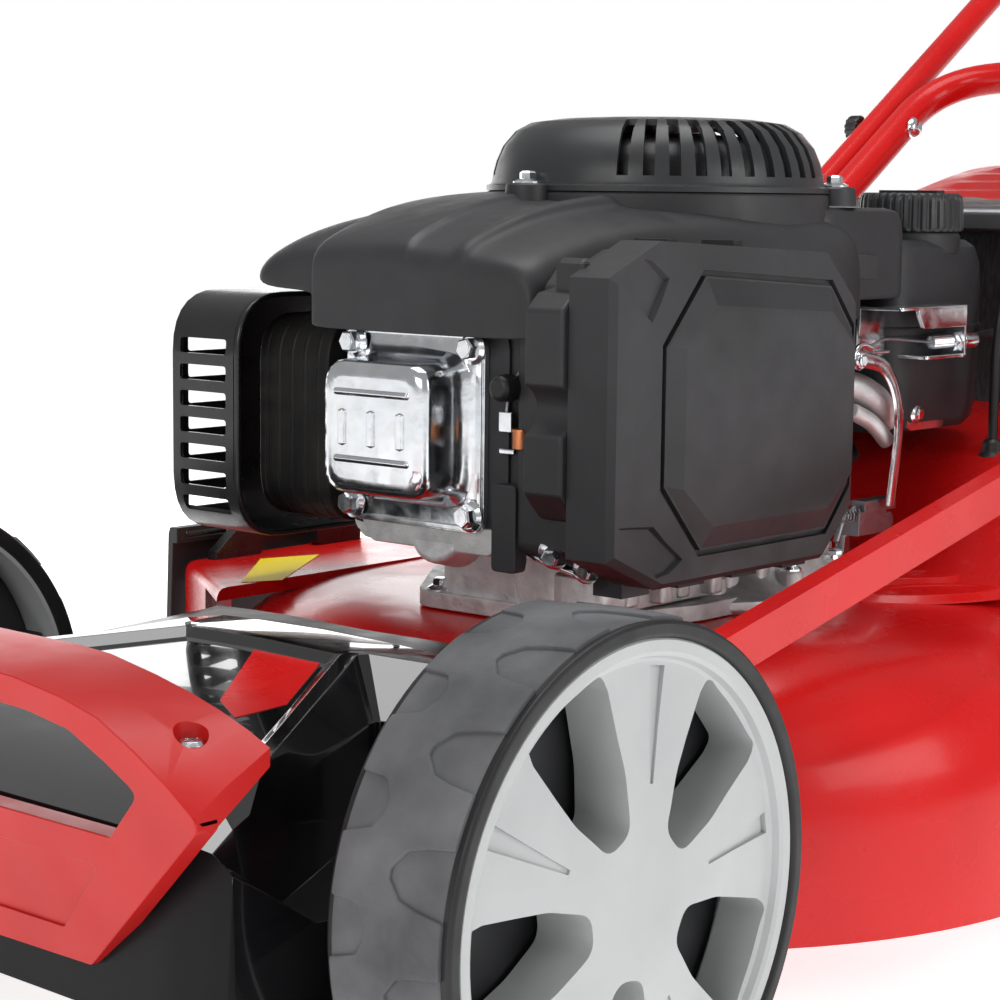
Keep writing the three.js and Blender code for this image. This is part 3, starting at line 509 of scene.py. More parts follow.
def bake(piece):
    bpy.context.view_layer.update()
    graph = bpy.context.evaluated_depsgraph_get()
    mesh = bpy.data.meshes.new_from_object(piece.evaluated_get(graph))
    piece.modifiers.clear()
    old = piece.data
    piece.data = mesh
    bpy.data.meshes.remove(old)


def make(name, parts, looks, body, replaces=(), bevel=0.0, steps=3, level=0, cuts=(), skin=0.0, limit=30.0,
         slot=None, sharp=40.0):
    """One visible piece: optional skin thickness, cuts, rounded edges or subdivision, smooth shading."""
    looks = (looks,) if isinstance(looks, str) else looks
    piece = raw(name, parts, looks)
    if skin:
        thick = piece.modifiers.new("skin", "SOLIDIFY")
        thick.thickness = skin / 1000
        thick.offset = -1
    if cuts:
        knife = raw(name + "_knife", cuts)
        for look in looks:
            knife.data.materials.append(LOOK[look])
        boolean = piece.modifiers.new("cut", "BOOLEAN")
        boolean.operation = "DIFFERENCE"
        boolean.solver = "EXACT"
        boolean.use_self = True
        boolean.object = knife
    if bevel:
        edges = piece.modifiers.new("edges", "BEVEL")
        edges.width = bevel / 1000
        edges.segments = steps
        edges.limit_method = "ANGLE"
        edges.angle_limit = math.radians(limit)
        edges.miter_outer = "MITER_ARC"
    if level:
        divide = piece.modifiers.new("divide", "SUBSURF")
        divide.levels = divide.render_levels = level
    bake(piece)
    if cuts:
        old = knife.data
        bpy.data.objects.remove(knife)
        bpy.data.meshes.remove(old)
    piece.data.shade_smooth()
    piece.data.set_sharp_from_angle(angle=math.radians(sharp))
    flat = piece.modifiers.new("flat", "WEIGHTED_NORMAL")
    flat.keep_sharp = True
    bake(piece)
    if body:
        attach(piece, body)
    if replaces:
        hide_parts(*replaces)
    slot = slot or SLOT_OF.get(looks[0], looks[0])
    return piece


# ---------------------------------------------------------------- wheels
FRONT = {"end": "front", "radius": 115.0, "width": 63.2, "inner": 210.2, "y": 0.0, "z": 115.0}
REAR = {"end": "rear", "radius": 127.0, "width": 55.0, "inner": 224.0, "y": 680.0, "z": 127.0}
TREAD_OUTER = [(-6.6, 58.6), (-5.8, 47), (-4.6, 37.5), (-1, 31), (1, 31), (4.6, 37.5), (5.8, 47),
               (6.6, 58.6)]
TREAD_INNER = [(5.4, 3.4), (7.3, 16.5), (10.5, 20.8), (13.5, 20.8), (16.7, 16.5), (18.6, 3.4)]
TREAD_PITCH = 24.0


def step_value(table, angle, rest):
    """Linear between the table's angles, and rest outside them."""
    for (a, low), (b, high) in zip(table, table[1:]):
        if a <= angle <= b:
            return low + (high - low) * (angle - a) / (b - a)
    return rest


def on_wheel(spec, side, radius, out, angle):
    """Point from radius, distance out from the inner face and angle up from the front."""
    along, up = polar(angle, radius)
    return side * (spec["inner"] + out), spec["y"] - along, spec["z"] + up


def wheel_lathe(spec, side, profile, segments=96):
    rings = []
    for s in range(segments):
        rings.append([on_wheel(spec, side, r, u, 360 * s / segments) for r, u in profile])
    rings.append(rings[0])
    return loft(rings, caps=False)


def about(along, across, angle, extra=0):
    """A point along and across a spoke at the given angle, in the form wheel_prism() takes."""
    return math.hypot(along, across), angle + math.degrees(math.atan2(across, along)), extra


def wheel_prism(spec, side, outline, low, high, tip=0.0):
    """Outline of (radius, angle, extra distance out) points, pushed through the wheel from low to high."""
    rings = []
    for row, out in enumerate((low, high)):
        ring = []
        for radius, angle, extra in outline:
            ring.append(on_wheel(spec, side, radius, out + (tip if row else extra), angle))
        rings.append(ring)
    return loft(rings)


def tyre(spec, side, body, node):
    r = spec["radius"]
    w = spec["width"]
    wide = w / 63.2
    wall = [(r - 11, 2), (r - 8.6, 0.8), (r - 3.6, 0), (r - 2.2, 1.4), (r - 2.4, w * 0.5),
            (r - 2.3, w - 3.4), (r - 1.6, w - 1.6), (r - 2.6, w - 0.2), (r - 3.4, w), (r - 7.4, w),
            (r - 8.4, w - 0.8), (r - 9.2, w - 3), (r - 11, w - 4)]
    carcass = tinted(wheel_lathe(spec, side, wall, 120), 1)
    angles = sorted({a for a, _ in TREAD_OUTER} | {a for a, _ in TREAD_INNER} | {9, 12, 15, 17})
    angles = [a for a in angles if a < TREAD_PITCH - 6.6]
    rings = []
    for block in range(15):
        for a in angles:
            outer = step_value(TREAD_OUTER, a, 58.6) * wide
            inner = step_value(TREAD_INNER, a, 3.4) * wide
            turn = 15.5 + TREAD_PITCH * block + a
            third = (outer - inner) / 3
            section = [(r - 4, inner - 0.5), (r - 0.5, inner), (r, inner + third), (r, outer - third),
                       (r - 0.3, outer), (r - 4, outer + 0.5)]
            rings.append([on_wheel(spec, side, radius, u, turn) for radius, u in section])
    rings.append(rings[0])
    band = loft(rings, caps=False)
    pocket = [(r - 3.5, 3.0), (r - 1.9, 3.6), (r - 1.9, w - 4.8), (r - 3.5, w - 4.2)]
    floor = wheel_lathe(spec, side, pocket, 120)
    make(f"{node}_detailed", [carcass, floor, band], ("tyre_rubber", "sidewall"), body, (node,), bevel=0.7,
         steps=2, limit=38, sharp=50)


def rim(spec, side, body, node):
    r = spec["radius"]
    k = r / 115
    m = spec["width"] / 63.2
    face = [(r - 8.8, 40 * m), (r - 8.8, 60.4 * m), (r - 9.8, 61.6 * m), (r - 14.4, 61.5 * m),
            (r - 16.2, 60.4 * m), (r - 17.4, 57.6 * m), (r - 19, 56.6 * m), (70 * k, 58.4 * m),
            (40 * k, 61.4 * m), (20 * k, 62.6 * m), (8, 62.9 * m), (0.0001, 63 * m), (0.0001, 34 * m),
            (r - 18, 34 * m), (r - 14, 33 * m), (r - 13, 3 * m), (r - 8.8, 2 * m)]
    cuts = []
    corners = [(30, -7.5), (52, -17), (86, -24.6), (94.2, -24.2), (95.6, 0), (94.2, 24.2), (86, 24.6),
               (52, 17), (30, 7.5)]
    window = fillet([(a * k, b * k) for a, b in corners], [9, 40, 6, 6, 90, 6, 6, 40, 9], 5)
    for i in range(5):
        middle = 63.3 + 72 * i
        outline = [about(a, b, middle) for a, b in window]
        cuts.append(wheel_prism(spec, side, outline, 20 * m, 70 * m))
        spoke = middle + 36
        wedge = [(94.5, -4.8, 54.4), (94.5, 4.8, 54.4), (48, 1.0, 59.4), (48, -1.0, 59.4)]
        outline = [about(a * k, b * k, spoke, u * m) for a, b, u in wedge]
        cuts.append(wheel_prism(spec, side, outline, 0, 0, tip=70 * m))
    hub = wheel_lathe(spec, side, [(7, 4), (15, 4), (15, 35 * m), (7, 35 * m)], 32)
    make(f"{node}_detailed", [wheel_lathe(spec, side, face, 120), hub], "wheel_grey", body, (node,),
         bevel=1.1, steps=3, cuts=cuts, sharp=45)
    disc = wheel_lathe(spec, side, [(14, 30 * m), (r - 14, 30 * m), (r - 14, 27 * m), (14, 27 * m)], 72)
    ribs = []
    for i in range(10):
        angle = 18 + 36 * i
        corners = [(20 * k, -1.2), (r - 15, -1.2), (r - 15, 1.2), (20 * k, 1.2)]
        outline = [about(a, b, angle) for a, b in corners]
        ribs.append(wheel_prism(spec, side, outline, 12 * m, 28 * m))
    make(f"{spec['end']}_wheel_back_{'left' if side > 0 else 'right'}", [disc] + ribs, "black_plastic",
         body, bevel=0.6, steps=2)


def wheels():
    for spec in (FRONT, REAR):
        for hand, side in (("left", 1), ("right", -1)):
            body = f"{spec['end']}_{hand}_wheel"
            tyre(spec, side, body, f"{spec['end']}_tyre_{hand}")
            rim(spec, side, body, f"{spec['end']}_rim_{hand}")


# ---------------------------------------------------------------- air filter
def octagon(x, ys, zs, front, rear, drop=0.0):
    """Eight-sided ring in YZ; the corner cuts are (along Y, along Z) at the front and the rear."""
    (y0, y1), (z0, z1) = ys, zs
    (fy, fz), (ry, rz) = front, rear
    return [(x, y0, z0 + fz), (x, y0, z1 - fz), (x, y0 + fy, z1), (x, y1 - ry, z1 - drop),
            (x, y1, z1 - rz - drop), (x, y1, z0 + rz), (x, y1 - ry, z0), (x, y0 + fy, z0)]


def filter_cover():
    rings = [
        octagon(99.4, (152, 346), (208, 366), (36, 14), (26, 22), 6),
        octagon(116, (152, 347), (207, 367), (36, 14), (26, 22), 6),
        octagon(116.4, (141, 350), (203.5, 371), (39, 17), (26, 24), 7),
        octagon(140, (141, 350), (203.5, 371), (39, 17), (26, 24), 7),
        octagon(143.5, (144, 347), (206.5, 368), (38, 17), (25, 24), 7),
        octagon(144.4, (180, 343), (219, 355), (31, 34), (21, 23), 7),
        octagon(144.4, (182, 341), (221, 353), (30, 33), (20, 22), 7),
        octagon(149.6, (190, 338), (232, 340), (24, 20), (22, 18), 6),
        octagon(150, (194, 335), (236, 336), (22, 18), (21, 17), 6),
    ]

    def outer(x):
        return octagon(x, (177.6, 345), (217, 357), (32, 35), (22, 24), 7)

    def inner(x):
        return octagon(x, (180.6, 342), (220, 354), (30.6, 33.6), (20.6, 22.6), 7)

    def upper_notch(x, grow):
        return [(x, 147 - grow, 352), (x, 163 - grow, 364 + grow), (x, 181 + grow, 352 + grow),
                (x, 168 + grow, 334 - grow)]

    def lower_notch(x, grow):
        return [(x, 148 - grow, 236 + grow), (x, 172 + grow, 234 + grow), (x, 196 + grow, 217),
                (x, 186, 212 - grow), (x, 178 - grow, 211 - grow)]

    groove = loft([outer(141.4), outer(150), inner(150), inner(141.4), outer(141.4)], caps=False)
    hollow = prism("x", [(154, 224), (154, 350), (170, 360), (320, 352), (340, 335), (340, 226), (322, 210),
                         (192, 210)], 90, 134)
    cuts = [groove, hollow, loft([upper_notch(141.6, 0), upper_notch(147, 3)]),
            loft([lower_notch(141.6, 0), lower_notch(147, 3)])]
    tabs = [box((104, 122), (178 + 46 * i, 200 + 46 * i), (197, 206)) for i in range(4)]
    lugs = [box((104, 124), (206, 214), (364, 371.4)), box((104, 124), (262, 270), (362, 370.4))]
    hooks = [box((101, 118), (150, 158), (346, 360))]
    make("air_filter_cover_shell", [loft(rings), *tabs, *lugs, *hooks], "black_plastic", "air_filter_cover",
         ("air_filter_cover",), bevel=1.5, steps=3, limit=14, cuts=cuts, sharp=50)


def filter_base():
    back = fillet([(158, 216), (158, 348), (176, 362), (322, 352), (324, 230), (300, 214)], 7)
    step = fillet([(137, 250), (137, 338), (146, 346), (200, 356), (200, 236), (150, 236)],
                  [4, 5, 5, 5, 5, 8])
    notch = round_bar("x", 12, 50, 120, (134, 290), 0.1)
    make("air_filter_base_shell", [prism("x", back, 70, 99)], "black_plastic", "chassis",
         ("air_filter_base",), bevel=2.5, steps=3)
    make("air_filter_snorkel", [prism("x", step, 92, 116)], "black_plastic", "chassis", bevel=3, steps=3,
         cuts=[notch])


# ---------------------------------------------------------------- engine
def valve_cover():
    plate = fillet([(-46, 223), (49, 223), (49, 324), (-46, 324)], 9)
    lip = fillet([(-40.5, 229), (43.5, 229), (43.5, 318), (-40.5, 318)], 12)
    base = [(x, 161.9, z) for x, z in plate]
    rim_low = [(x, 158.5, z) for x, z in plate]
    shelf = [(x, 158.5, z) for x, z in lip]

    def square(y, grow, radius=13):
        outline = fillet([(-36.5 - grow, 240.5 - grow), (35 + grow, 240.5 - grow), (35 + grow, 308 + grow),
                          (-36.5 - grow, 308 + grow)], radius)
        return [(x, y, z) for x, z in outline]

    rings = [base, rim_low, shelf, square(157.4, 5.5, 16), square(153.5, 2.5), square(149, 1.2),
             square(134.5, 0.4), square(131.2, -1.2), square(129.6, -4.2, 11), square(129.0, -8, 9)]
    # Drawn edge round the flange, outside the raised square.
    bead = fillet([(-45, 224), (48, 224), (48, 323), (-45, 323)], 8)
    inner = fillet([(-42.6, 226.4), (45.6, 226.4), (45.6, 320.6), (-42.6, 320.6)], 8)
    frame_rings = [[(x, 158.6, z) for x, z in bead], [(x, 156.9, z) for x, z in bead],
                   [(x, 156.9, z) for x, z in inner], [(x, 158.6, z) for x, z in inner]]
    frame_rings.append(frame_rings[0])
    ribs = []
    for z in (258.5, 292.5):
        ribs.append(placed(tube([(0, 0, -26), (0, 0, -25), (0, 0, 25), (0, 0, 26)], [0.5, 1.9, 1.9, 0.5],
                                12), (-0.8, 129.2, z), (1, 0, 0)))
    for x in (-21, -1, 19):
        ribs.append(placed(tube([(0, 0, -9.5), (0, 0, -8.5), (0, 0, 8.5), (0, 0, 9.5)],
                                [0.6, 2.6, 2.6, 0.6], 12), (x, 129.4, 274.5), (0, 0, 1)))
    make("valve_cover_pressed", [loft(rings), loft(frame_rings, caps=False), *ribs], "zinc", "chassis",
         ("valve_cover",), bevel=0.9, steps=3, limit=40, sharp=60)
    for i, (x, z) in enumerate(((-39, 316), (42.5, 316), (-40, 232), (41.5, 232))):
        make(f"valve_cover_screw_{i + 1}", flange_bolt((x, 157, z), (0, -1, 0), 10, 7.4, 8.2, 13 * i),
             "zinc", "chassis", (f"valve_cover_bolt_{i + 1}",), sharp=32)
    gasket = fillet([(-48, 221), (62, 221), (62, 325), (-48, 325)], [9, 16, 9, 9])
    make("valve_cover_gasket", [prism("y", gasket, 162, 170)], "black_plastic", "chassis")


def cylinder():
    head = fillet([(-52, 214), (46, 214), (50, 226), (50, 318), (-54, 318), (-54, 236)], 8)
    parts = [prism("y", head, 170, 186)]
    for i in range(9):
        y = 190 + i * 10.5
        reach = 70 - 1.0 * i
        parts.append(prism("y", fillet([(-reach, 207), (reach * 0.86, 207), (reach * 0.86, 318),
                                        (-reach, 318)], 10), y, y + 3.2))
    parts.append(prism("y", fillet([(-44, 206), (44, 206), (44, 316), (-44, 316)], 30), 184, 300))
    parts.append(prism("z", fillet([(-73, 290), (73, 290), (73, 430), (-73, 430)], 24), 204.2, 318))
    lug = upright([(0, 0), (17, 0), (19, 2), (19, 20), (16, 24), (0, 24)], 28)
    parts.append(placed(lug, (14, 162, 224), (0, 1, -0.25)))
    parts.append(prism("y", fillet([(-30, 212), (52, 212), (60, 226), (-40, 226)], 5), 160, 186))
    make("cylinder_casting", parts, "aluminium", "chassis", ("cylinder_block",), bevel=1.2, steps=2,
         sharp=45)


def engine_base():
    flare = [(14, 170.4), (116, 170.4), (121, 171.6), (123.4, 174), (123.4, 178.4), (119, 181), (110, 184),
             (103, 190), (99, 198), (98, 206), (14, 206)]
    nose = fillet([(-22, 206), (62, 206), (84, 300), (84, 361), (-92, 361), (-72, 290)], 16)
    rim_plate = fillet([(-34, 200), (84, 204), (104, 270), (104, 330), (-106, 330), (-80, 262)], 20)
    parts = [lathe(flare, (0, CRANK_Y), "z", 96), prism("z", nose, 176, 205),
             prism("z", rim_plate, 172, 181)]
    for angle in (-125, -98, -64, -35, -8, 20, 60, 110, 160, 205):
        x, y = polar(angle, 108)
        parts.append(shifted(upright([(0, 180), (8.5, 180), (8, 190), (7, 191), (0, 191)], 20), x,
                             CRANK_Y + y))
    filler = [(-88, 396, 186), (-112, 396, 190), (-130, 396, 200), (-138, 396, 218), (-138, 396, 322)]
    parts.append(tube(curve(filler, 6), 10.5, 20))
    parts.append(lathe([(5, 318), (13, 318), (13, 326), (5, 326)], (-138, 396), "z", 24))
    make("engine_base_casting", parts, "aluminium", "chassis", ("engine_base",), bevel=1.6, steps=3,
         sharp=45)
    screws = []
    for angle in (-125, -98, -64, -35, -8, 20):
        x, y = polar(angle, 108)
        screws += flange_bolt((x, CRANK_Y + y, 191), (0, 0, 1), 8, 5.5, 6.6, angle)
    screws += flange_bolt((-26, 210, 181), (0, 0, 1), 8, 6, 7.5)
    make("engine_base_screws", screws, "zinc", "chassis", sharp=32)


def blower_housing():
    """Sections of the moulded housing from front to rear: left x, right x and the height of its top."""
    table = [
        (149.4, -61, 82, 356),
        (150, -64.5, 84.5, 361),
        (151.6, -66, 86, 365.4),
        (156, -68, 88, 370),
        (166, -70, 89, 374.6),
        (184, -74, 90, 380.6),
        (208, -81, 91, 387),
        (238, -90, 93, 391.6),
        (272, -100, 97, 394.6),
        (310, -107, 103, 396),
        (345, -111, 109, 396),
        (380, -111, 111, 396),
        (412, -102, 104, 394.6),
        (438, -84, 90, 391),
        (458, -60, 70, 384),
        (470, -36, 46, 374),
        (475.5, -14, 24, 360),
    ]
    section = [
        (0, 0),
        (0, 0.025),
        (0, 0.44),
        (0, 0.76),
        (0.006, 0.86),
        (0.03, 0.925),
        (0.08, 0.96),
        (0.2, 0.985),
        (0.33, 0.998),
        (0.43, 1.004),
        (0.446, 1.0),
        (0.458, 0.956),
        (0.50, 0.940),
        (0.60, 0.926),
        (0.645, 0.922),
        (0.658, 0.968),
        (0.68, 0.982),
        (0.705, 0.966),
        (0.72, 0.898),
        (0.76, 0.876),
        (0.84, 0.85),
        (0.91, 0.81),
        (0.955, 0.75),
        (0.985, 0.62),
        (1, 0.44),
        (1, 0.025),
        (1, 0),
    ]
    rings = []
    for y, left, right, top in table:
        rings.append([(left + (right - left) * part, y, 322 + (top - 322) * rise) for part,
                      rise in section])
    # The low cowl on the exhaust side, which overhangs the guard.
    wing = []
    for y, left, top in ((162, -110, 356), (163.4, -118, 361), (168, -125, 366), (184, -129, 373),
                         (212, -129, 380), (245, -125, 385), (280, -119, 388), (310, -110, 388)):
        inner = -58
        ring = [(left, 341), (left, 341 + (top - 341) * 0.35), (left + 6, 341 + (top - 341) * 0.62),
                (left + 18, 341 + (top - 341) * 0.82), (left + 34, top), (inner, top + 1), (inner, 330),
                (-70, 330), (-74, 337), (-80, 341)]
        wing.append([(x, y, z) for x, z in ring])
    make("blower_housing_moulding", [loft(rings), loft(wing)], "black_plastic", "chassis",
         ("blower_housing",), level=2, sharp=60)
    seat = [(0.001, 370), (97, 370), (97.6, 378), (97, 393), (95.6, 394.6), (0.001, 394.6)]
    make("recoil_seat", [lathe(seat, (0, CRANK_Y), "z", 96)], "black_plastic", "chassis", bevel=1.0,
         steps=2, sharp=45)


def recoil_dome():
    """Louvred starter cover with three groups of slots, three flange screws, rope guide and grip."""
    shell = [(97, 394.6), (97, 397.4), (94.6, 398.2), (93.8, 400), (93.2, 405), (91.6, 411), (88, 419.4),
             (81, 427.8), (72, 432.6), (56, 434.8), (40, 435.6), (0.0001, 436), (0.0001, 432.8),
             (40, 432.4), (55, 431.6), (70.6, 429.4), (78.6, 425.2), (85, 417.6), (88.4, 410), (90, 404),
             (90.4, 394.6)]
    slots = []
    for group in (-64.4, 64.0, 150.0):
        for i in range(8 if group == 64.0 else 10):
            angle = group + 8.7 * i
            c, d = polar(angle, 1)
            outline = fillet([(66, 426), (66, 438), (100, 438), (100, 403), (84, 403), (82, 414)], 1, 2)
            rings = []
            for w in (-3.1, 3.1):
                rings.append([(r * c - w * d, CRANK_Y + r * d + w * c, z) for r, z in outline])
            slots.append(loft(rings))
    make("recoil_cover_shell", [lathe(shell, (0, CRANK_Y), "z", 120)], "smooth_plastic", "chassis",
         ("recoil_cover",), bevel=0.7, steps=2, cuts=slots, sharp=42)
    # Thin near-black dome just under the louvred shell, so the slots read dark: painted shade standing for
    # the dark inside of the cover, not a real part.
    liner = [(79, 397), (80.4, 397), (80.4, 410), (74, 419), (62, 424.6), (30, 427), (0.001, 427),
             (0.001, 425.6), (30, 425.6), (61, 423.4), (72.8, 418), (79, 409.4)]
    make("recoil_painted_shade_liner", [lathe(liner, (0, CRANK_Y), "z", 96)], "sheath", "chassis",
         slot="black_plastic", sharp=50)
    screws, pads = [], []
    for angle in (-97, 36, 142):
        x, y = polar(angle, 100)
        pads.append(shifted(upright([(0, 388), (12.5, 388), (12, 397.4), (11, 398.4), (0, 398.4)], 28), x,
                            CRANK_Y + y))
        screws += flange_bolt((x, CRANK_Y + y, 398.4), (0, 0, 1), 8, 6.4, 8, angle)
    make("recoil_cover_pads", pads, "black_plastic", "chassis")
    make("recoil_cover_screws", screws, "zinc", "chassis", sharp=32)
    mouth = upright([(0, 0), (15, 0), (16, 2), (16, 9), (13, 12), (0, 12)], 32)
    make("starter_rope_guide", [placed(mouth, (-66, 420, 421), (-0.35, 0.85, 0.45))], "smooth_plastic",
         "chassis", bevel=0.6, steps=2)
    bar = tube([(-43, 459, 431), (-46, 460, 431), (-72, 466, 431), (-98, 472, 431), (-101, 472.5, 431)],
               [2, 7.6, 8.6, 7.6, 2], 24)
    seat = [(-70.3, 432, 427), (-70.8, 444, 428), (-72, 457, 429.4), (-73, 464, 431)]
    stem = tube(seat, [3.4, 4.8, 6.5, 7.5], 20)
    make("starter_grip_moulding", [bar, stem], "smooth_plastic", "starter_grip", ("starter_grip",), level=1,
         sharp=60)


def guard():
    """Exhaust guard, open towards the cylinder, with seven slots in front and in its outer side."""
    section = fillet([(150, 203), (296, 203), (296, 338), (150, 338)], [34, 12, 12, 34], 7)
    hollow = fillet([(151.8, 204.8), (300, 204.8), (300, 336.2), (151.8, 336.2)], [32.4, 1, 1, 32.4], 7)
    cuts = [prism("x", hollow, -172.2, -100)]
    for i in range(7):
        z = 220.6 + 14.6 * i
        cuts.append(prism("y", fillet(slab((-168, -131), (z - 4.2, z + 4.2)), 2.0), 140, 156))
        cuts.append(prism("x", fillet(slab((160, 196), (z - 4.2, z + 4.2)), 2.0), -182, -165))
    make("muffler_guard_pressed", [prism("x", section, -174, -124)], "black_paint", "chassis",
         ("muffler_guard",), bevel=1.0, steps=2, cuts=cuts, sharp=45)
    lip = fillet([(150, 203), (290, 203), (290, 338), (150, 338)], [34, 12, 12, 34], 7)
    inner = fillet([(153, 206), (287, 206), (287, 335), (153, 335)], [31, 10, 10, 31], 7)
    rings = [[(x, y, z) for y, z in ring] for x, ring in ((-126, lip), (-121.5, lip), (-121.5, inner),
                                                          (-126, inner))]
    rings.append(rings[0])
    make("muffler_guard_rim", [loft(rings, caps=False)], "black_paint", "chassis", bevel=1.2, steps=2,
         sharp=50)
    can = fillet([(176, 214), (284, 214), (284, 326), (176, 326)], 26, 7)
    parts = [prism("x", can, -132, -78)]
    for x in (-128, -118, -108, -98, -88):
        outline = [(230 + (y - 230) * 1.006, 270 + (z - 270) * 1.006) for y, z in can]
        parts.append(prism("x", outline, x, x + 3.6))
    parts.append(prism("x", fillet(slab((186, 262), (236, 304)), 16), -80, -52.8))
    make("muffler_can", parts, "sooty", "chassis", ("muffler",), bevel=1.4, steps=2, sharp=45)
    screws = []
    for y, z in ((190, 226), (190, 314)):
        screws += flange_bolt((-124, y, z), (1, 0, 0), 8, 5, 7)
    make("muffler_screws", screws, "zinc", "chassis", sharp=32)


def fuel_tank():
    outline = fillet(slab((-60, 94), (470, 584)), [22, 22, 30, 30], 6)

    def wide(grow, z):
        return [(17 + (x - 17) * grow, 527 + (y - 527) * grow, z) for x, y in outline]

    rings = [wide(0.80, 254), wide(0.90, 255), wide(0.96, 260), wide(0.985, 270), wide(1.0, 300),
             wide(1.0, 338), wide(0.985, 355), wide(0.95, 364), wide(0.88, 368), wide(0.60, 368.4)]
    seam = [wide(1.0, 312), wide(1.012, 313), wide(1.012, 317), wide(1.0, 318)]
    neck = lathe([(0, 360), (30, 360), (30, 370), (28.5, 373), (0, 373)], (62, 534), "z", 48)
    make("fuel_tank_moulding", [loft(rings), loft(seam), neck], "black_plastic", "chassis", ("fuel_tank",),
         bevel=1.5, steps=2, sharp=50)
    shoulder = fillet([(58, 386), (95, 386), (95, 480), (58, 480)], 14, 6)
    rings = [[(76 + (x - 76) * g, 430 + (y - 430) * g, z) for x, y in shoulder]
             for g, z in ((0.98, 335), (1.0, 338), (1.0, 372), (0.97, 380), (0.90, 385), (0.7, 387))]
    make("tank_shoulder", [loft(rings)], "black_plastic", "chassis", bevel=1.2, steps=2, sharp=50)
    plate = fillet([(394, 350), (444, 346), (444, 360), (394, 364)], 1.5)
    make("tank_blank_plate", [prism("x", plate, 94.4, 95.9)], "smooth_plastic", "chassis", bevel=0.4,
         steps=2)


def fuel_cap():
    rings = []
    for z, r, depth in ((373.2, 30.5, 0), (374.0, 31.4, 1.0), (376.0, 31.8, 1.5), (391.0, 31.2, 1.5),
                        (394.5, 30.2, 1.0), (396.0, 28.4, 0), (396.0, 24, 0)):
        ring = []
        for k in range(180):
            groove = depth if k % 5 in (0, 1) else 0
            x, y = polar(2 * k, r - groove)
            ring.append((62 + x, 534 + y, z))
        rings.append(ring)
    ridge = shifted(prism("z", fillet(slab((-22, 22), (-3.5, 3.5)), 3), 395, 397.6), 62, 534)
    make("fuel_cap_ribbed", [loft(rings), ridge], "smooth_plastic", "fuel_cap", ("fuel_cap",),
         sharp=40)


def dipstick():
    head = lathe([(0, 326), (15, 326), (15.5, 328), (15.5, 333), (13, 336), (0, 336)], (-138, 396), "z", 40)
    tab = shifted(prism("y", fillet([(-11, 334), (11, 334), (11, 337.8), (-11, 337.8)], 1.5), -2.5, 2.5),
                  -138, 396)
    rod = round_bar("z", 2.5, 216, 328, (-138, 396))
    make("dipstick_cap", [head, tab, rod], "smooth_plastic", "dipstick", ("dipstick",), bevel=0.6, steps=2)


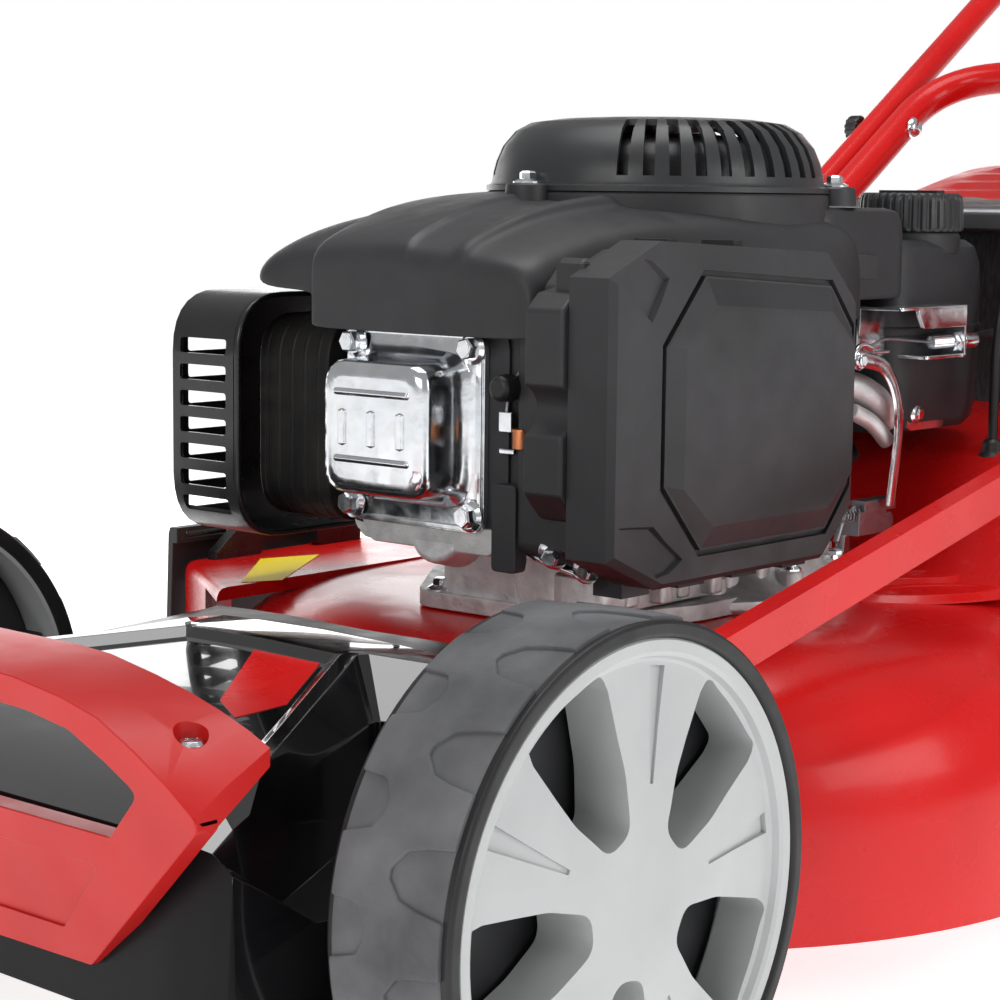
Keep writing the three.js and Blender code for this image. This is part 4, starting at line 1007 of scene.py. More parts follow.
def controls():
    """Cable bracket, levers, carburettor and the small metal parts beside the air filter."""
    web = [(444, 300), (446, 331), (519, 329), (519, 304), (500, 302)]
    channel = [prism("x", fillet(web, 2.5), 82, 84.2),
               prism("z", fillet(slab((82, 112), (446, 521)), 3), 328.6, 330.8),
               prism("x", fillet([(470, 318), (519, 318), (519, 330), (462, 330)], 3), 109.6, 112),
               prism("z", fillet(slab((84, 110), (478, 519)), 3), 299.6, 301.8),
               prism("y", fillet(slab((82, 111), (299, 330.6)), 3), 518.4, 520.8),
               prism("z", fillet(slab((80, 91), (440, 470)), 3), 303, 305)]
    make("cable_bracket_pressed", channel, "zinc", "chassis", ("cable_bracket",), bevel=0.6, steps=2)
    parts = [placed(hexagon(11, 0, 4.5), (103, 513.5, 309), (0, 1, 0)),
             placed(hexagon(11, 0, 4.5), (103, 521, 309), (0, 1, 0))]
    thread = [(0, 0)] + [(4.2 if k % 2 else 3.5, 0.6 + k) for k in range(24)] + [(0, 25)]
    parts.append(placed(upright(thread, 24), (103, 492, 309), (0, 1, 0)))
    parts.append(placed(upright([(0, 0), (4.8, 0), (5.4, 1), (5.4, 14), (4.8, 16), (0, 16)], 28),
                        (103, 526, 309), (0, 1, 0)))
    make("cable_adjuster", parts, "zinc", "chassis", sharp=32)
    wire = curve([(103, 494, 309), (101, 470, 311), (98.5, 448, 312), (97, 433, 308)], 5)
    make("cable_inner_wire", [tube(wire, 0.9, 10)], "steel", "chassis")
    clip = tube(curve([(96.5, 438, 307), (96, 430, 309), (96, 424, 307), (96, 421, 303), (96, 424, 299)],
                      5), 2.6, 14, 0.7)
    arm_path = curve([(96, 424, 302), (96, 436, 300.5), (96, 452, 297), (96, 463, 288), (96, 470, 275),
                      (96, 472, 258), (96, 469, 236), (96, 465, 214)], 6)
    arm = tube(arm_path, 4.6, 14, 0.32, (0, 1, 0))
    pivot = flange_bolt((97, 425, 301), (1, 0, 0), 7, 4, 5.5)
    make("governor_lever_strip", [arm, clip, *pivot], "zinc", "governor_lever", ("governor_lever",),
         sharp=50)
    loop = fillet([(490, 256), (532, 256), (532, 273), (490, 275)], 5)
    hole = prism("x", fillet([(504, 261), (526, 261), (526, 268), (504, 268)], 3.2), 80, 100)
    make("stop_bracket", [prism("x", loop, 88.5, 91), *flange_bolt((91, 498, 266), (1, 0, 0), 7, 4.5, 6)],
         "zinc", "chassis", cuts=[hole], bevel=0.5, steps=2, sharp=35)
    block = [box((79, 91), (440, 470), (198, 212)), box((81, 91), (446, 480), (211, 218)),
             placed(upright([(0, 0), (5.5, 0), (5.5, 10), (0, 10)], 20), (80, 474, 204), (1, 0, 0)),
             tube(bent([(86, 442, 214), (86, 430, 208), (86, 424, 196)], 6), 2.0, 12)]
    make("spring_anchor", block, "steel", "chassis", bevel=0.8, steps=2)
    coil = []
    for k in range(181):
        c, d = polar(24 * k, 3.4)
        coil.append((86 + c, 424 + k * 0.22, 210 + d))
    make("governor_spring", [tube(coil, 0.65, 8)], "steel", "chassis")
    carb = [placed(upright([(0, 0), (17, 0), (18, 2), (18, 24), (15, 28), (0, 28)], 40), (66, 404, 252),
                   (0.1, 1, 0.05)), prism("y", fillet(slab((46, 88), (226, 286)), 9), 396, 404),
            prism("z", fillet(slab((48, 84), (402, 446)), 8), 262, 286),
            lathe([(0, 214), (16, 214), (18, 217), (18, 236), (0, 236)], (66, 424), "z", 40),
            tube(curve([(66, 430, 282), (74, 452, 284), (80, 470, 276), (82, 486, 262)], 6), 8.5, 20),
            tube(curve([(80, 446, 270), (84, 462, 262), (88, 474, 250)], 6), 5, 16)]
    make("carburettor_casting", carb, "aluminium", "chassis", ("carburettor",), bevel=1.2, steps=2,
         sharp=45)
    wall = []
    for i in range(7):
        y = 216 + 22 * i
        wall.append(prism("z", fillet(slab((70, 96 + (i % 2) * 5), (y, y + 12)), 4), 184, 214))
    wall.append(prism("z", fillet(slab((60, 94), (196, 372)), 10), 182, 201))
    make("crankcase_ribs", wall, "aluminium", "chassis", bevel=1.6, steps=2, sharp=45)
    pipe = tube(curve([(66, 452, 238), (60, 480, 240), (40, 500, 246), (20, 505, 256)], 6), 4, 16)
    make("fuel_hose", [pipe], "sheath", "chassis")
    stud = [placed(upright([(0, 0), (8.5, 0), (8.5, 28), (0, 28)], 32), (88, 168, 220), (0, 0, 1)),
            placed(hexagon(12, 0, 6), (88, 168, 248), (0, 0, 1)),
            *flange_bolt((92, 162, 218), (0.35, -0.9, -0.2), 8, 8, 8),
            *flange_bolt((108, 168, 211), (0.3, -0.9, -0.1), 7, 6, 7),
            tube(bent([(52, 176, 222), (57, 170, 222), (76, 168, 214), (100, 170, 208)], 5), 2.4, 12)]
    make("filter_stud", stud, "zinc", "chassis", sharp=35)
    small = []
    for x, y, z in ((62, 470, 196), (86, 486, 190), (96, 498, 186)):
        small += flange_bolt((x, y, z), (0.2, -0.3, 0.9), 8, 6, 8, 20)
        small.append(placed(upright([(0, -14), (5, -14), (5, 0), (0, 0)], 20), (x, y, z), (0.2, -0.3, 0.9)))
    make("linkage_screws", small, "zinc", "chassis", sharp=35)


def ignition():
    make("spark_plug_boot", [tube([(66, 148, 298), (66, 150, 298), (66, 158, 298), (66, 160, 298),
                                   (66, 168, 298)], [4.5, 6.6, 7, 6, 6], 24)], "sheath", "chassis",
         ("spark_plug",), bevel=0.8, steps=2, slot="black_plastic", sharp=50)
    cover = fillet([(55, 208), (57, 268), (60, 326), (72, 326), (74, 300), (70, 286), (84, 284), (84, 250),
                    (70, 248), (70, 208)], 3)
    make("ignition_cover", [prism("y", cover, 163.8, 168),
                            prism("y", fillet(slab((56, 72), (206, 250)), 3), 156, 165)], "black_plastic",
         "chassis", bevel=1.0, steps=2)
    wire = tube(curve([(70, 161, 306), (65, 160, 299), (63, 159.5, 288), (63, 159, 281)], 6), 1.0, 10)
    make("earth_wire", [wire], "steel", "chassis", slot="cable_sheath")
    terminal = [box((60, 68), (156.5, 161), (276, 286)), box((59.5, 69), (157.5, 160), (265, 267.6))]
    make("earth_terminal", terminal, "zinc", "chassis", bevel=0.5, steps=2)
    winding = [placed(upright([(0, 0), (4.6, 0), (4.6, 10), (0, 10)], 20), (72, 160, 268), (0, 0, 1))]
    make("coil_winding", winding, "copper", "chassis", bevel=0.6, steps=2)


# ---------------------------------------------------------------- front of the deck
def sheet(rows):
    """Open surface from rows of points."""
    wide = len(rows[0])
    faces = []
    for i in range(len(rows) - 1):
        for j in range(wide - 1):
            a = i * wide + j
            faces.append([a, a + 1, a + wide + 1, a + wide])
    return [p for row in rows for p in row], faces


def both_sides(half):
    """Closed outline from the half listed from the top centre to the bottom centre."""
    return half + [(-x, z) for x, z in reversed(half) if x > 0.01]


def leaning(outline, near, far):
    """Outline of (x, z) on the leaning face of the carry handle, pushed from near to far behind it."""
    return loft([[(x, -168 + (168 - z) * 0.25 + d, z) for x, z in outline] for d in (near, far)])


def carry_handle():
    arch = both_sides([(0, 213), (90, 211), (110, 210), (137, 206), (156, 201), (173, 191), (188, 180),
                       (200, 169), (200, 164), (118, 92), (0, 91)])
    hole = both_sides([(0, 200), (90, 198), (113, 197), (137, 193), (155, 183), (170, 173), (148, 152),
                       (0, 152)])
    stations = [(0, 213, 213.5), (90, 211, 213), (110, 210, 212), (137, 206, 207.5), (156, 201, 203.5),
                (173, 191, 199), (188, 180, 194), (200, 169, 189)]
    stations = [(-x, a, b) for x, a, b in reversed(stations[1:])] + stations
    rings = []
    for x, front, back in stations:
        lean = -168 + (168 - front) * 0.25
        rings.append([(x, lean + 0.6, front), (x, lean * 0.6 - 131 * 0.4, front * 0.6 + back * 0.4 + 1.2),
                      (x, -131, back), (x, -131, back - 7), (x, lean + 8, front - 7)])
    cuts = [leaning(fillet(hole, 4, 3), -20, 60)]
    cuts.append(leaning(fillet(both_sides([(0, 138), (137, 138), (106, 106), (0, 106)]), 3), -5, 1.2))
    for side in (-1, 1):
        cuts.append(shifted(upright([(0.001, 188.6), (6.4, 188.6), (7.4, 215), (0.001, 215)], 28),
                            178 * side, -150))
    make("carry_handle_plate", [leaning(fillet(arch, 4, 3), 0, 11)], "red_plastic", "chassis",
         ("front_handle",), bevel=2.6, steps=4, cuts=cuts[:2], sharp=50, limit=25)
    make("carry_handle_grip", [loft(rings)], "red_plastic", "chassis", bevel=2.6, steps=4, cuts=cuts[2:],
         sharp=50, limit=25)
    for i, side in enumerate((-1, 1)):
        headed = upright([(0.001, 0), (5.6, 0), (5.6, 1.2), (4.2, 2.6), (0.001, 3.2)], 28)
        cross = [box((-3.2, 3.2), (-0.5, 0.5), (1.6, 5)), box((-0.5, 0.5), (-3.2, 3.2), (1.6, 5))]
        spot = shifted(headed, 178 * side, -150, 189)
        make(f"carry_handle_screw_{i + 1}", [spot], "zinc", "chassis", bevel=0.2, steps=2,
             cuts=[shifted(c, 178 * side, -150, 189) for c in cross], sharp=35)


FAIRING = [
    [(150, -147, 74), (157, -147, 74), (164, -146.5, 74), (176, -145, 74), (181, -144, 74), (187, -142, 74),
     (188, -141, 72)],
    [(150, -141, 148), (157, -141, 148), (165, -140.5, 147.5), (177, -139, 146), (182, -138.5, 143),
     (187, -138, 139), (188, -137, 72)],
    [(147, -124, 153), (154, -122, 156.5), (161, -120, 157), (170, -122, 150.5), (173, -120, 132),
     (186, -122, 130), (187, -122, 72)],
    [(137, -91, 161.5), (142.5, -88.5, 166.2), (149, -86, 166.4), (160, -104, 151), (162, -101, 108),
     (186, -93, 111), (187, -93, 72)],
    [(89, -13.5, 168.5), (94.5, -11, 173.1), (101, -8, 173.3), (121, -30, 151), (122.5, -29, 105.5),
     (186, -20, 105.5), (187, -20, 72)],
    [(49, 48, 173.5), (54, 52.5, 178), (60, 57.5, 178.3), (80, 48, 150.6), (81.5, 49, 105.5),
     (186, 84, 105.5), (187, 84, 72)],
    [(49, 53, 178), (54.4, 56, 178.1), (60.5, 59.4, 178.4), (80.6, 49, 150.7), (82, 49.8, 105.4),
     (186.3, 85, 105.4), (187.2, 85, 72)],
    [(49, 60, 178.2), (55, 61.5, 178.3), (62, 63, 178.2), (82, 50.4, 150.9), (83, 51, 105.3),
     (186.4, 86, 105.2), (187.3, 86, 72)],
    [(48, 95, 176.5), (74, 96, 175.3), (106, 100, 169.5), (185, 90, 150.6), (186, 90.6, 105.2),
     (186.6, 91, 104), (187.4, 91.4, 72)],
    [(50, 127, 173.4), (96, 138, 170), (140, 152, 165.4), (196, 190, 151), (196.4, 190.4, 143),
     (196.6, 190.6, 141), (196.8, 190.8, 138)],
    [(50, 131, 165), (95, 142, 161), (138, 156, 156), (192, 193, 143), (192.4, 193.4, 138),
     (192.6, 193.6, 136), (192.8, 193.8, 134)],
]


def fairing():
    """Gloss black cover of the deck's front: panel between two ridges, shelf, wings behind the wheels."""
    rows = []
    for half in FAIRING:
        x, y, z = half[0]
        rear = 6 if y > 120 else 0
        rows.append([(-a, b, c) for a, b, c in reversed(half)] + [(0, y - rear, z + 0.8)] + half)
    make("front_fairing_moulding", [tinted(sheet(rows[:2]), 1), sheet(rows[1:9]),
                                    tinted(sheet(rows[8:]), 1)], ("black_gloss", "front_plastic"),
         "chassis", ("front_fairing",), skin=2.4, bevel=1.5, steps=3, limit=11, sharp=60)
    stripe = [(2, 46.4), (46.6, 46.4), (51, 40), (84, -11), (80, -38), (54, -23)]
    rings = [[(x, y, 174.35 + 0.0813 * (y - 48) - abs(x) * 0.0085 + lift) for x, y in stripe]
             for lift in (-0.3, 0.12)]
    make("fairing_stripe", [loft(rings)], "red", "chassis")
    tray = [prism("x", fillet([(-96, 66), (120, 66), (120, 100), (-96, 84)], 3), x, x + 3)
            for x in (-171, 168)]
    make("deck_nose_plates", tray, "red", "chassis", bevel=0.6, steps=2)


# ---------------------------------------------------------------- deck
DECK_SECTION = [(258.6, 33.4), (262, 34.6), (261.8, 60), (260.6, 90), (258, 108), (253.5, 123),
                (246.5, 136), (237, 147), (225, 156.2), (211, 163.2), (195, 167.8), (176, 170.4),
                (150, 171.4)]
DECK_CREASE = [(90, 110, 0), (170, 112, 0), (209, 119, 2.6), (245, 127, 3.8), (325, 146, 4.2),
               (420, 151, 4.2), (640, 153, 4.2)]


def walk(path, distance):
    """Point at a distance along a path."""
    for a, b in zip(path, path[1:]):
        step = math.dist(a, b)
        if distance <= step:
            return tuple(p + (q - p) * distance / step for p, q in zip(a, b))
        distance -= step
    return path[-1]


def deck_profile(y):
    """Skirt and shoulder as (radius, height); above the pressed crease the surface is set in."""
    crease, inset = 110, 0
    for a, b in zip(DECK_CREASE, DECK_CREASE[1:]):
        if a[0] <= y <= b[0]:
            t = (y - a[0]) / (b[0] - a[0])
            crease, inset = a[1] + (b[1] - a[1]) * t, a[2] + (b[2] - a[2]) * t
    total = sum(math.dist(a, b) for a, b in zip(DECK_SECTION, DECK_SECTION[1:]))
    steps = [total * k / 400 for k in range(401)]
    split = next(d for d in steps if walk(DECK_SECTION, d)[1] >= crease)
    points = [DECK_SECTION[0]]
    for k in range(8):
        points.append(walk(DECK_SECTION, 3.6 + (split - 3.6) * k / 7))
    for k in range(9):
        r, z = walk(DECK_SECTION, split + 3.2 + (total - split - 3.2) * k / 8)
        points.append((r - inset * max(0.0, (169 - z) / (169 - crease)) ** 0.6, z))
    return points + [(r, 171.6) for r in (120, 90, 60, 44)]


def deck():
    rows = []
    for k in range(97):
        angle = -90 + 360 * k / 96
        c, d = polar(angle, 1)
        rows.append([(r * c, CRANK_Y + r * d, z) for r, z in deck_profile(CRANK_Y + 262 * d)])
    chute = [(440, 20), (720, 20), (720, 168), (548, 168), (470, 150), (440, 120)]
    cuts = [prism("x", chute, -186, 186), box((-300, -150), (243, 387), (63, 162))]
    make("deck_bowl", [sheet(rows)], "red", "chassis", ("deck_shell",), skin=2.0, cuts=cuts, sharp=55)
    rows = []
    for y, low, top in ((452, 150, 166), (466, 150, 171.5), (480, 150, 177), (495, 140, 189),
                        (510, 110, 205), (525, 80, 219), (541, 60, 232), (560, 60, 241), (580, 110, 248),
                        (600, 158, 254), (620, 158, 259), (640, 158, 262)):
        corner = fillet([(190, top - 60), (190, top), (0, top + 2), (0, top - 60)], [0.01, 26, 0.01, 0.01],
                        7)
        half = [(190, y, low), (190, y, low + 6)]
        half += [(x, y, z) for x, z in corner if z > top - 40 and x > 20]
        half.append((60, y, top + 1))
        rows.append(half + [(-x, b, z) for x, b, z in reversed(half)])
    make("deck_tunnel", [sheet(rows)], "red", "chassis", skin=2.0, bevel=1.4, steps=3, limit=24,
         sharp=50)
    hood = [[(x, y, z) for y, z in fillet([(front, 58), (392, 58), (392, top), (front, top)], 8)]
            for x, front, top in ((-262, 236, 167), (-150, 160, 172.4))]
    mouth = prism("x", fillet([(243, 63), (387, 63), (387, 162), (243, 162)], 4), -300, -140)
    bore = round_bar("z", 257, 10, 165, (0, CRANK_Y), 0.1, 96)
    make("side_chute_hood", [loft(hood)], "red", "chassis", cuts=[mouth, bore], bevel=3.0, steps=3,
         sharp=50)
    pads = []
    for x, y, long, wide, tall, turn in ((146, 428, 46, 20, 3.4, 58), (118, 462, 30, 15, 5.0, 58),
                                         (-150, 430, 46, 20, 3.4, 122)):
        c, d = polar(turn, 1)
        rings = []
        for grow, z in ((1.18, 170.8), (1.06, 171.9), (0.96, 171.4 + tall), (0.86, 172 + tall),
                        (0.76, 171.2 + tall), (0.70, 170.2 + tall), (0.2, 170 + tall)):
            ring = []
            for k in range(40):
                u, v = polar(9 * k, 1)
                ring.append((x + grow * (u * long * c - v * wide * d),
                             y + grow * (u * long * d + v * wide * c), z))
            rings.append(ring)
        pads.append(loft(rings))
    make("deck_pressings", pads, "red", "chassis", sharp=70)
    edge_a, edge_b = ((-229, 268), (-212, 302)), ((-156, 184), (-143, 204))
    rows = []
    for t in (0, 0.5, 1):
        (ax, ay), (bx, by) = edge_a[0], edge_a[1]
        (cx, cy), (dx, dy) = edge_b[0], edge_b[1]
        row = []
        for u in (0, 0.5, 1):
            x = (ax + (bx - ax) * u) * (1 - t) + (cx + (dx - cx) * u) * t
            y = (ay + (by - ay) * u) * (1 - t) + (cy + (dy - cy) * u) * t
            row.append((x, y, 167.35 + (x + 262) * 0.0482))
        rows.append(row)
    make("blank_sticker", [sheet(rows)], "label", "chassis", sharp=60)


def side_discharge():
    section = [(-263.6, 178.5), (-263.6, 188), (-270.4, 188), (-272, 184), (-277, 62), (-276.6, 58),
               (-273.6, 58), (-267.4, 178.5)]
    ribs = [prism("y", [(-271.6, 168), (-272.8, 168), (-277, 74), (-275.6, 74)], y, y + 5)
            for y in (250, 281, 312, 343, 374)]
    make("discharge_flap_moulding", [prism("y", section, 231, 396), *ribs], "black_plastic",
         "discharge_flap", ("discharge_flap",), bevel=1.0, steps=3)
    cheek = fillet([(206, 146), (222, 157), (223, 172), (243, 187), (262, 187), (262, 170), (246, 152)], 2)
    other = [(600 - y, z) for y, z in cheek]
    cheek = [(y + 28, z) for y, z in cheek]
    rod = round_bar("y", 2.6, 238, 386, (-265, 183), 0.4)
    make("discharge_hinge_cheeks", [prism("x", cheek, -258, -250), prism("x", other, -258, -250), rod],
         "black_paint", "chassis", bevel=1.2, steps=2)
    coil = []
    for k in range(201):
        c, d = polar(36 * k, 4.4)
        coil.append((-265 + c, 270 + k * 0.3, 183 + d))
    make("discharge_flap_spring", [tube(coil, 0.8, 8)], "steel", "chassis")


# ---------------------------------------------------------------- running gear
def on_link(along, up):
    return -55.4 + along * 0.9771 - up * 0.2127, 135.0 + along * 0.2127 + up * 0.9771


FRONT_AXLE = (0, 115)
REAR_AXLE = (680, 127)
LEVER_PIVOT = (569, 140)
LINK_PIN = (-55.4, 135.0)


def running_gear():
    strip = fillet([on_link(-10, -8.5), on_link(626, -8.5), on_link(626, 9), on_link(560, 12),
                    on_link(60, 12), on_link(-10, 8.5)], [8, 8, 8, 20, 20, 8])
    flange = [on_link(44, 9.5), on_link(590, 9.5), on_link(590, 12), on_link(44, 12)]
    y, z = LINK_PIN
    circle = [k * math.pi / 10 for k in range(20)]
    hole = prism("x", [(y + 5 * math.cos(a), z + 5 * math.sin(a)) for a in circle], 190, 210)
    make("height_link_bar", [prism("x", strip, 199.2, 204), prism("x", flange, 192, 200)], "red",
         "height_link", ("height_link",), cuts=[hole], bevel=1.0, steps=3)
    bolt = [*flange_bolt((204, 546.5, 266.0), (1, 0, 0), 12, 7, 9),
            round_bar("x", 4, 198, 218.6, (546.5, 266.0))]
    make("height_link_bolt", bolt, "zinc", "height_link", sharp=35)
    y, z = -32.9, 96
    arm = fillet([(y - 11, z - 9), (y + 4, z - 13), (9, 104), (12, 118), (2, 126), (y - 4, z + 14),
                  (y - 12, z + 6)], 7)
    horn = fillet([(y - 11, z - 6), (y + 10, z - 6), (-46, 141), (-55, 146), (-64, 139)], 6)
    parts = [round_bar("x", 7, -190, 190, (y, z))]
    for side in (1, -1):
        low, high = span(188, 194, side)
        parts += [prism("x", arm, low, high), prism("x", horn, low, high),
                  round_bar("x", 6, *span(190, 268, side), FRONT_AXLE)]
    parts.append(round_bar("x", 4, 190, 206, LINK_PIN))
    make("front_axle_crank", parts, "black_paint", "front_axle", ("front_axle",), bevel=0.8, steps=2,
         sharp=38)
    y, z = LEVER_PIVOT
    arm = fillet([(y - 13, z - 8), (y, z - 14), (688, 114), (692, 130), (682, 140), (y + 6, z + 14),
                  (y - 11, z + 10)], 7)
    parts = [round_bar("x", 8, -222, 222, REAR_AXLE), round_bar("x", 6, -274, 274, REAR_AXLE)]
    for side in (1, -1):
        parts += [prism("x", arm, *span(207, 211.5, side)),
                  round_bar("x", 8, *span(188, 209, side), (y, z))]
    make("rear_axle_arms", parts, "black_paint", "rear_axle", ("rear_axle",), bevel=0.8, steps=2,
         sharp=38)
    spots = [(*FRONT_AXLE, 1, "front"), (*FRONT_AXLE, -1, "front"), (*REAR_AXLE, 1, "rear"),
             (*REAR_AXLE, -1, "rear")]
    for i, (y, z, side, end) in enumerate(spots):
        x = 268 if end == "front" else 268.5
        make(f"axle_nut_{i + 1}", flange_bolt((x * side, y, z), (side, 0, 0), 13, 4.5, 8.2), "zinc",
             f"{end}_axle", sharp=35)
    tip_y, tip_z = LEVER_PIVOT[0] - 41.4, LEVER_PIVOT[1] + 231.3
    blade = fillet([(555, 134), (573, 126), (584, 140), (561.5, 266), (tip_y + 8, tip_z),
                    (tip_y - 8, tip_z), (531.5, 266)], [6, 6, 6, 4, 4, 4, 4])
    slot = prism("x", fillet(slab((537.5, 555.5), (257.5, 274.5)), 3), 205, 225)
    make("height_lever_strip", [prism("x", blade, 211.8, 216.3)], "black_paint", "rear_axle",
         ("height_lever",), cuts=[slot], bevel=0.8, steps=2)
    knob = fillet([(tip_y - 13, tip_z - 30), (tip_y + 20, tip_z - 30), (tip_y + 12, tip_z + 16),
                   (tip_y - 14, tip_z + 16)], 8)
    make("height_lever_grip", [prism("x", knob, 208, 221)], "smooth_plastic", "rear_axle", bevel=3, steps=4)


def belt():
    """V belt round the blade adapter and the gearbox pulley; it is fixed in place and does not follow the
    gearbox.
    """
    rear_y, apart = 680, 319
    big, small = 37.8, 29.6
    path = []
    for k in range(19):
        c, d = polar(10 * k, 1)
        path.append((big * c, rear_y + big * d, c, d))
    for k in range(1, 16):
        path.append((-big + 8.2 * k / 16, rear_y - apart * k / 16, -1, 0))
    for k in range(19):
        c, d = polar(180 + 10 * k, 1)
        path.append((small * c, CRANK_Y + small * d, c, d))
    for k in range(1, 16):
        path.append((small + 8.2 * k / 16, CRANK_Y + apart * k / 16, 1, 0))
    rings = [[(x - 2 * c, y - 2 * d, 82.8), (x + 2 * c, y + 2 * d, 82), (x + 2 * c, y + 2 * d, 86),
              (x - 2 * c, y - 2 * d, 85.2)] for x, y, c, d in path]
    rings.append(rings[0])
    piece = make("drive_belt_loop", [loft(rings, caps=False)], "tyre_rubber", None, ("drive_belt",),
                 bevel=0.3, steps=2, sharp=50)
    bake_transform(piece)


# ---------------------------------------------------------------- handles and cables
# The tubes rise at 33 degrees past the fold pivot and at 45 degrees up to the grip.
FOLD_PIVOT = (927, 449)
GRIP = (1536, 980)
SINE_33, COSINE_33 = 0.545, 0.839
SINE_45 = 0.707


def on_handle(y):
    """Height of the lower tubes' middle line at y."""
    return FOLD_PIVOT[1] + math.tan(math.radians(33)) * (y - FOLD_PIVOT[0])


def beside(x, y, lift):
    """Point lifted square off the lower tubes."""
    return x, y - lift * SINE_33, on_handle(y) + lift * COSINE_33


def beside_grip(x, y, lift):
    """Point lifted square off the upper tubes."""
    return x, y - lift * SINE_45, GRIP[1] - (GRIP[0] - y) + lift * SINE_45


def handles():
    low = bent([(188, 656, on_handle(656)), (188, 990, on_handle(990)), (-188, 990, on_handle(990)),
                (-188, 656, on_handle(656))], 62, 12)
    make("lower_handle_tube", [tube(low, 12.5, 28)], "red", "chassis", ("lower_handle",), sharp=60)
    legs = [(212, 854, on_handle(854)), (212, 1150, on_handle(1150)), (212, *GRIP), (-212, *GRIP),
            (-212, 1150, on_handle(1150)), (-212, 854, on_handle(854))]
    make("upper_handle_tube", [tube(bent(legs, 66, 12), 11, 28)], "red", "upper_handle", ("upper_handle",),
         sharp=60)
    rings = [(x, *GRIP) for x in range(-146, 147, 4)]
    sizes = [12.4 if i % 2 else 13.0 for i in range(len(rings))]
    make("handle_foam", [tube(rings, sizes, 28)], "sheath", "upper_handle", slot="black_plastic", sharp=50)
    for hand, side in (("left", 1), ("right", -1)):
        knurl = []
        for x, grow in ((223.6, 0.92), (225, 1.0), (232, 1.0), (234, 0.9)):
            ring = []
            for k in range(60):
                c, d = polar(6 * k, (9.4 if k % 5 in (0, 1) else 10.6) * grow)
                ring.append((x * side, FOLD_PIVOT[0] + c, FOLD_PIVOT[1] + d))
            knurl.append(ring)
        stud = round_bar("x", 4, *span(172, 236, side), FOLD_PIVOT)
        make(f"fold_knob_{hand}_moulding", [loft(knurl), tinted(stud, 1)], ("smooth_plastic", "zinc"),
             f"fold_knob_{hand}", (f"fold_knob_{hand}",), sharp=40)
        dome = placed(upright([(0.001, 0), (8.4, 0), (8.0, 2.6), (5.5, 4.8), (0.001, 5.6)], 28),
                      (175.6 * side, *FOLD_PIVOT), (-side, 0, 0))
        make(f"fold_bolt_{hand}", [dome], "zinc", f"fold_knob_{hand}", sharp=50)
        plate = fillet([(606, 178), (706, 244), (706, 310), (640, 318), (626, 394), (604, 394), (604, 178)],
                       7)
        parts = [prism("x", plate, *span(201, 205, side)),
                 box(tuple(span(195.3, 202, side)), (608, 636), (190, 240))]
        make(f"handle_bracket_{hand}_plate", parts, "red", "chassis", (f"handle_bracket_{hand}",),
             bevel=1.0, steps=3)
        screws = flange_bolt((205 * side, 672, 283), (side, 0, 0), 12, 6,
                             9) + flange_bolt((205 * side, 622, 215), (side, 0, 0), 12, 6, 9)
        make(f"handle_bracket_{hand}_bolts", screws, "zinc", "chassis", sharp=35)
    for name, y, z, along, up, look in (("brake", 1451, 895, 19.4, 110.3, "red"),
                                        ("drive", 1430, 874, 138.9, 29.5, "smooth_plastic")):
        route = [(200.6, y, z), (192, y, z), (192, y + along, z + up), (-192, y + along, z + up),
                 (-192, y, z), (-200.6, y, z)]
        make(f"{name}_bail_rod", [tube(bent(route, 9, 8), 4.5, 18)], look, f"{name}_bail",
             (f"{name}_bail",), sharp=60, slot="red_paint" if name == "brake" else "black_plastic")


BRAKE_ROUTE = [(103, 517, 309), (101, 540, 309.5), (99.5, 566, 311), (106, 588, 313), (124, 608, 315.5),
               (150, 628, 318), (172, 656, 322), (184, 684, 326), beside(191, 722, 19),
               beside(192, 800, 19), beside(192, 880, 19), beside(193, 927, 19), beside(198, 975, 19),
               beside(206, 1020, 18), beside(208, 1070, 17), beside(208, 1120, 17),
               beside_grip(208, 1195, 17), beside_grip(208, 1260, 17), beside_grip(208, 1340, 17),
               beside_grip(208, 1420, 17)]
DRIVE_ROUTE = [(109, 560, 246), (109, 560, 275), (109, 561, 305), (110, 566, 330), (114, 578, 348),
               (124, 596, 356), (142, 620, 355), (162, 650, 349), (176, 682, 341), beside(182, 722, 21),
               beside(184, 800, 19), beside(184, 880, 19), beside(185, 927, 20), beside(188, 975, 25),
               beside(198, 1020, 31), beside(210, 1070, 26), beside(215, 1120, 17),
               beside_grip(216, 1195, 17), beside_grip(216, 1260, 17), beside_grip(216, 1340, 17),
               beside_grip(216, 1400, 17)]


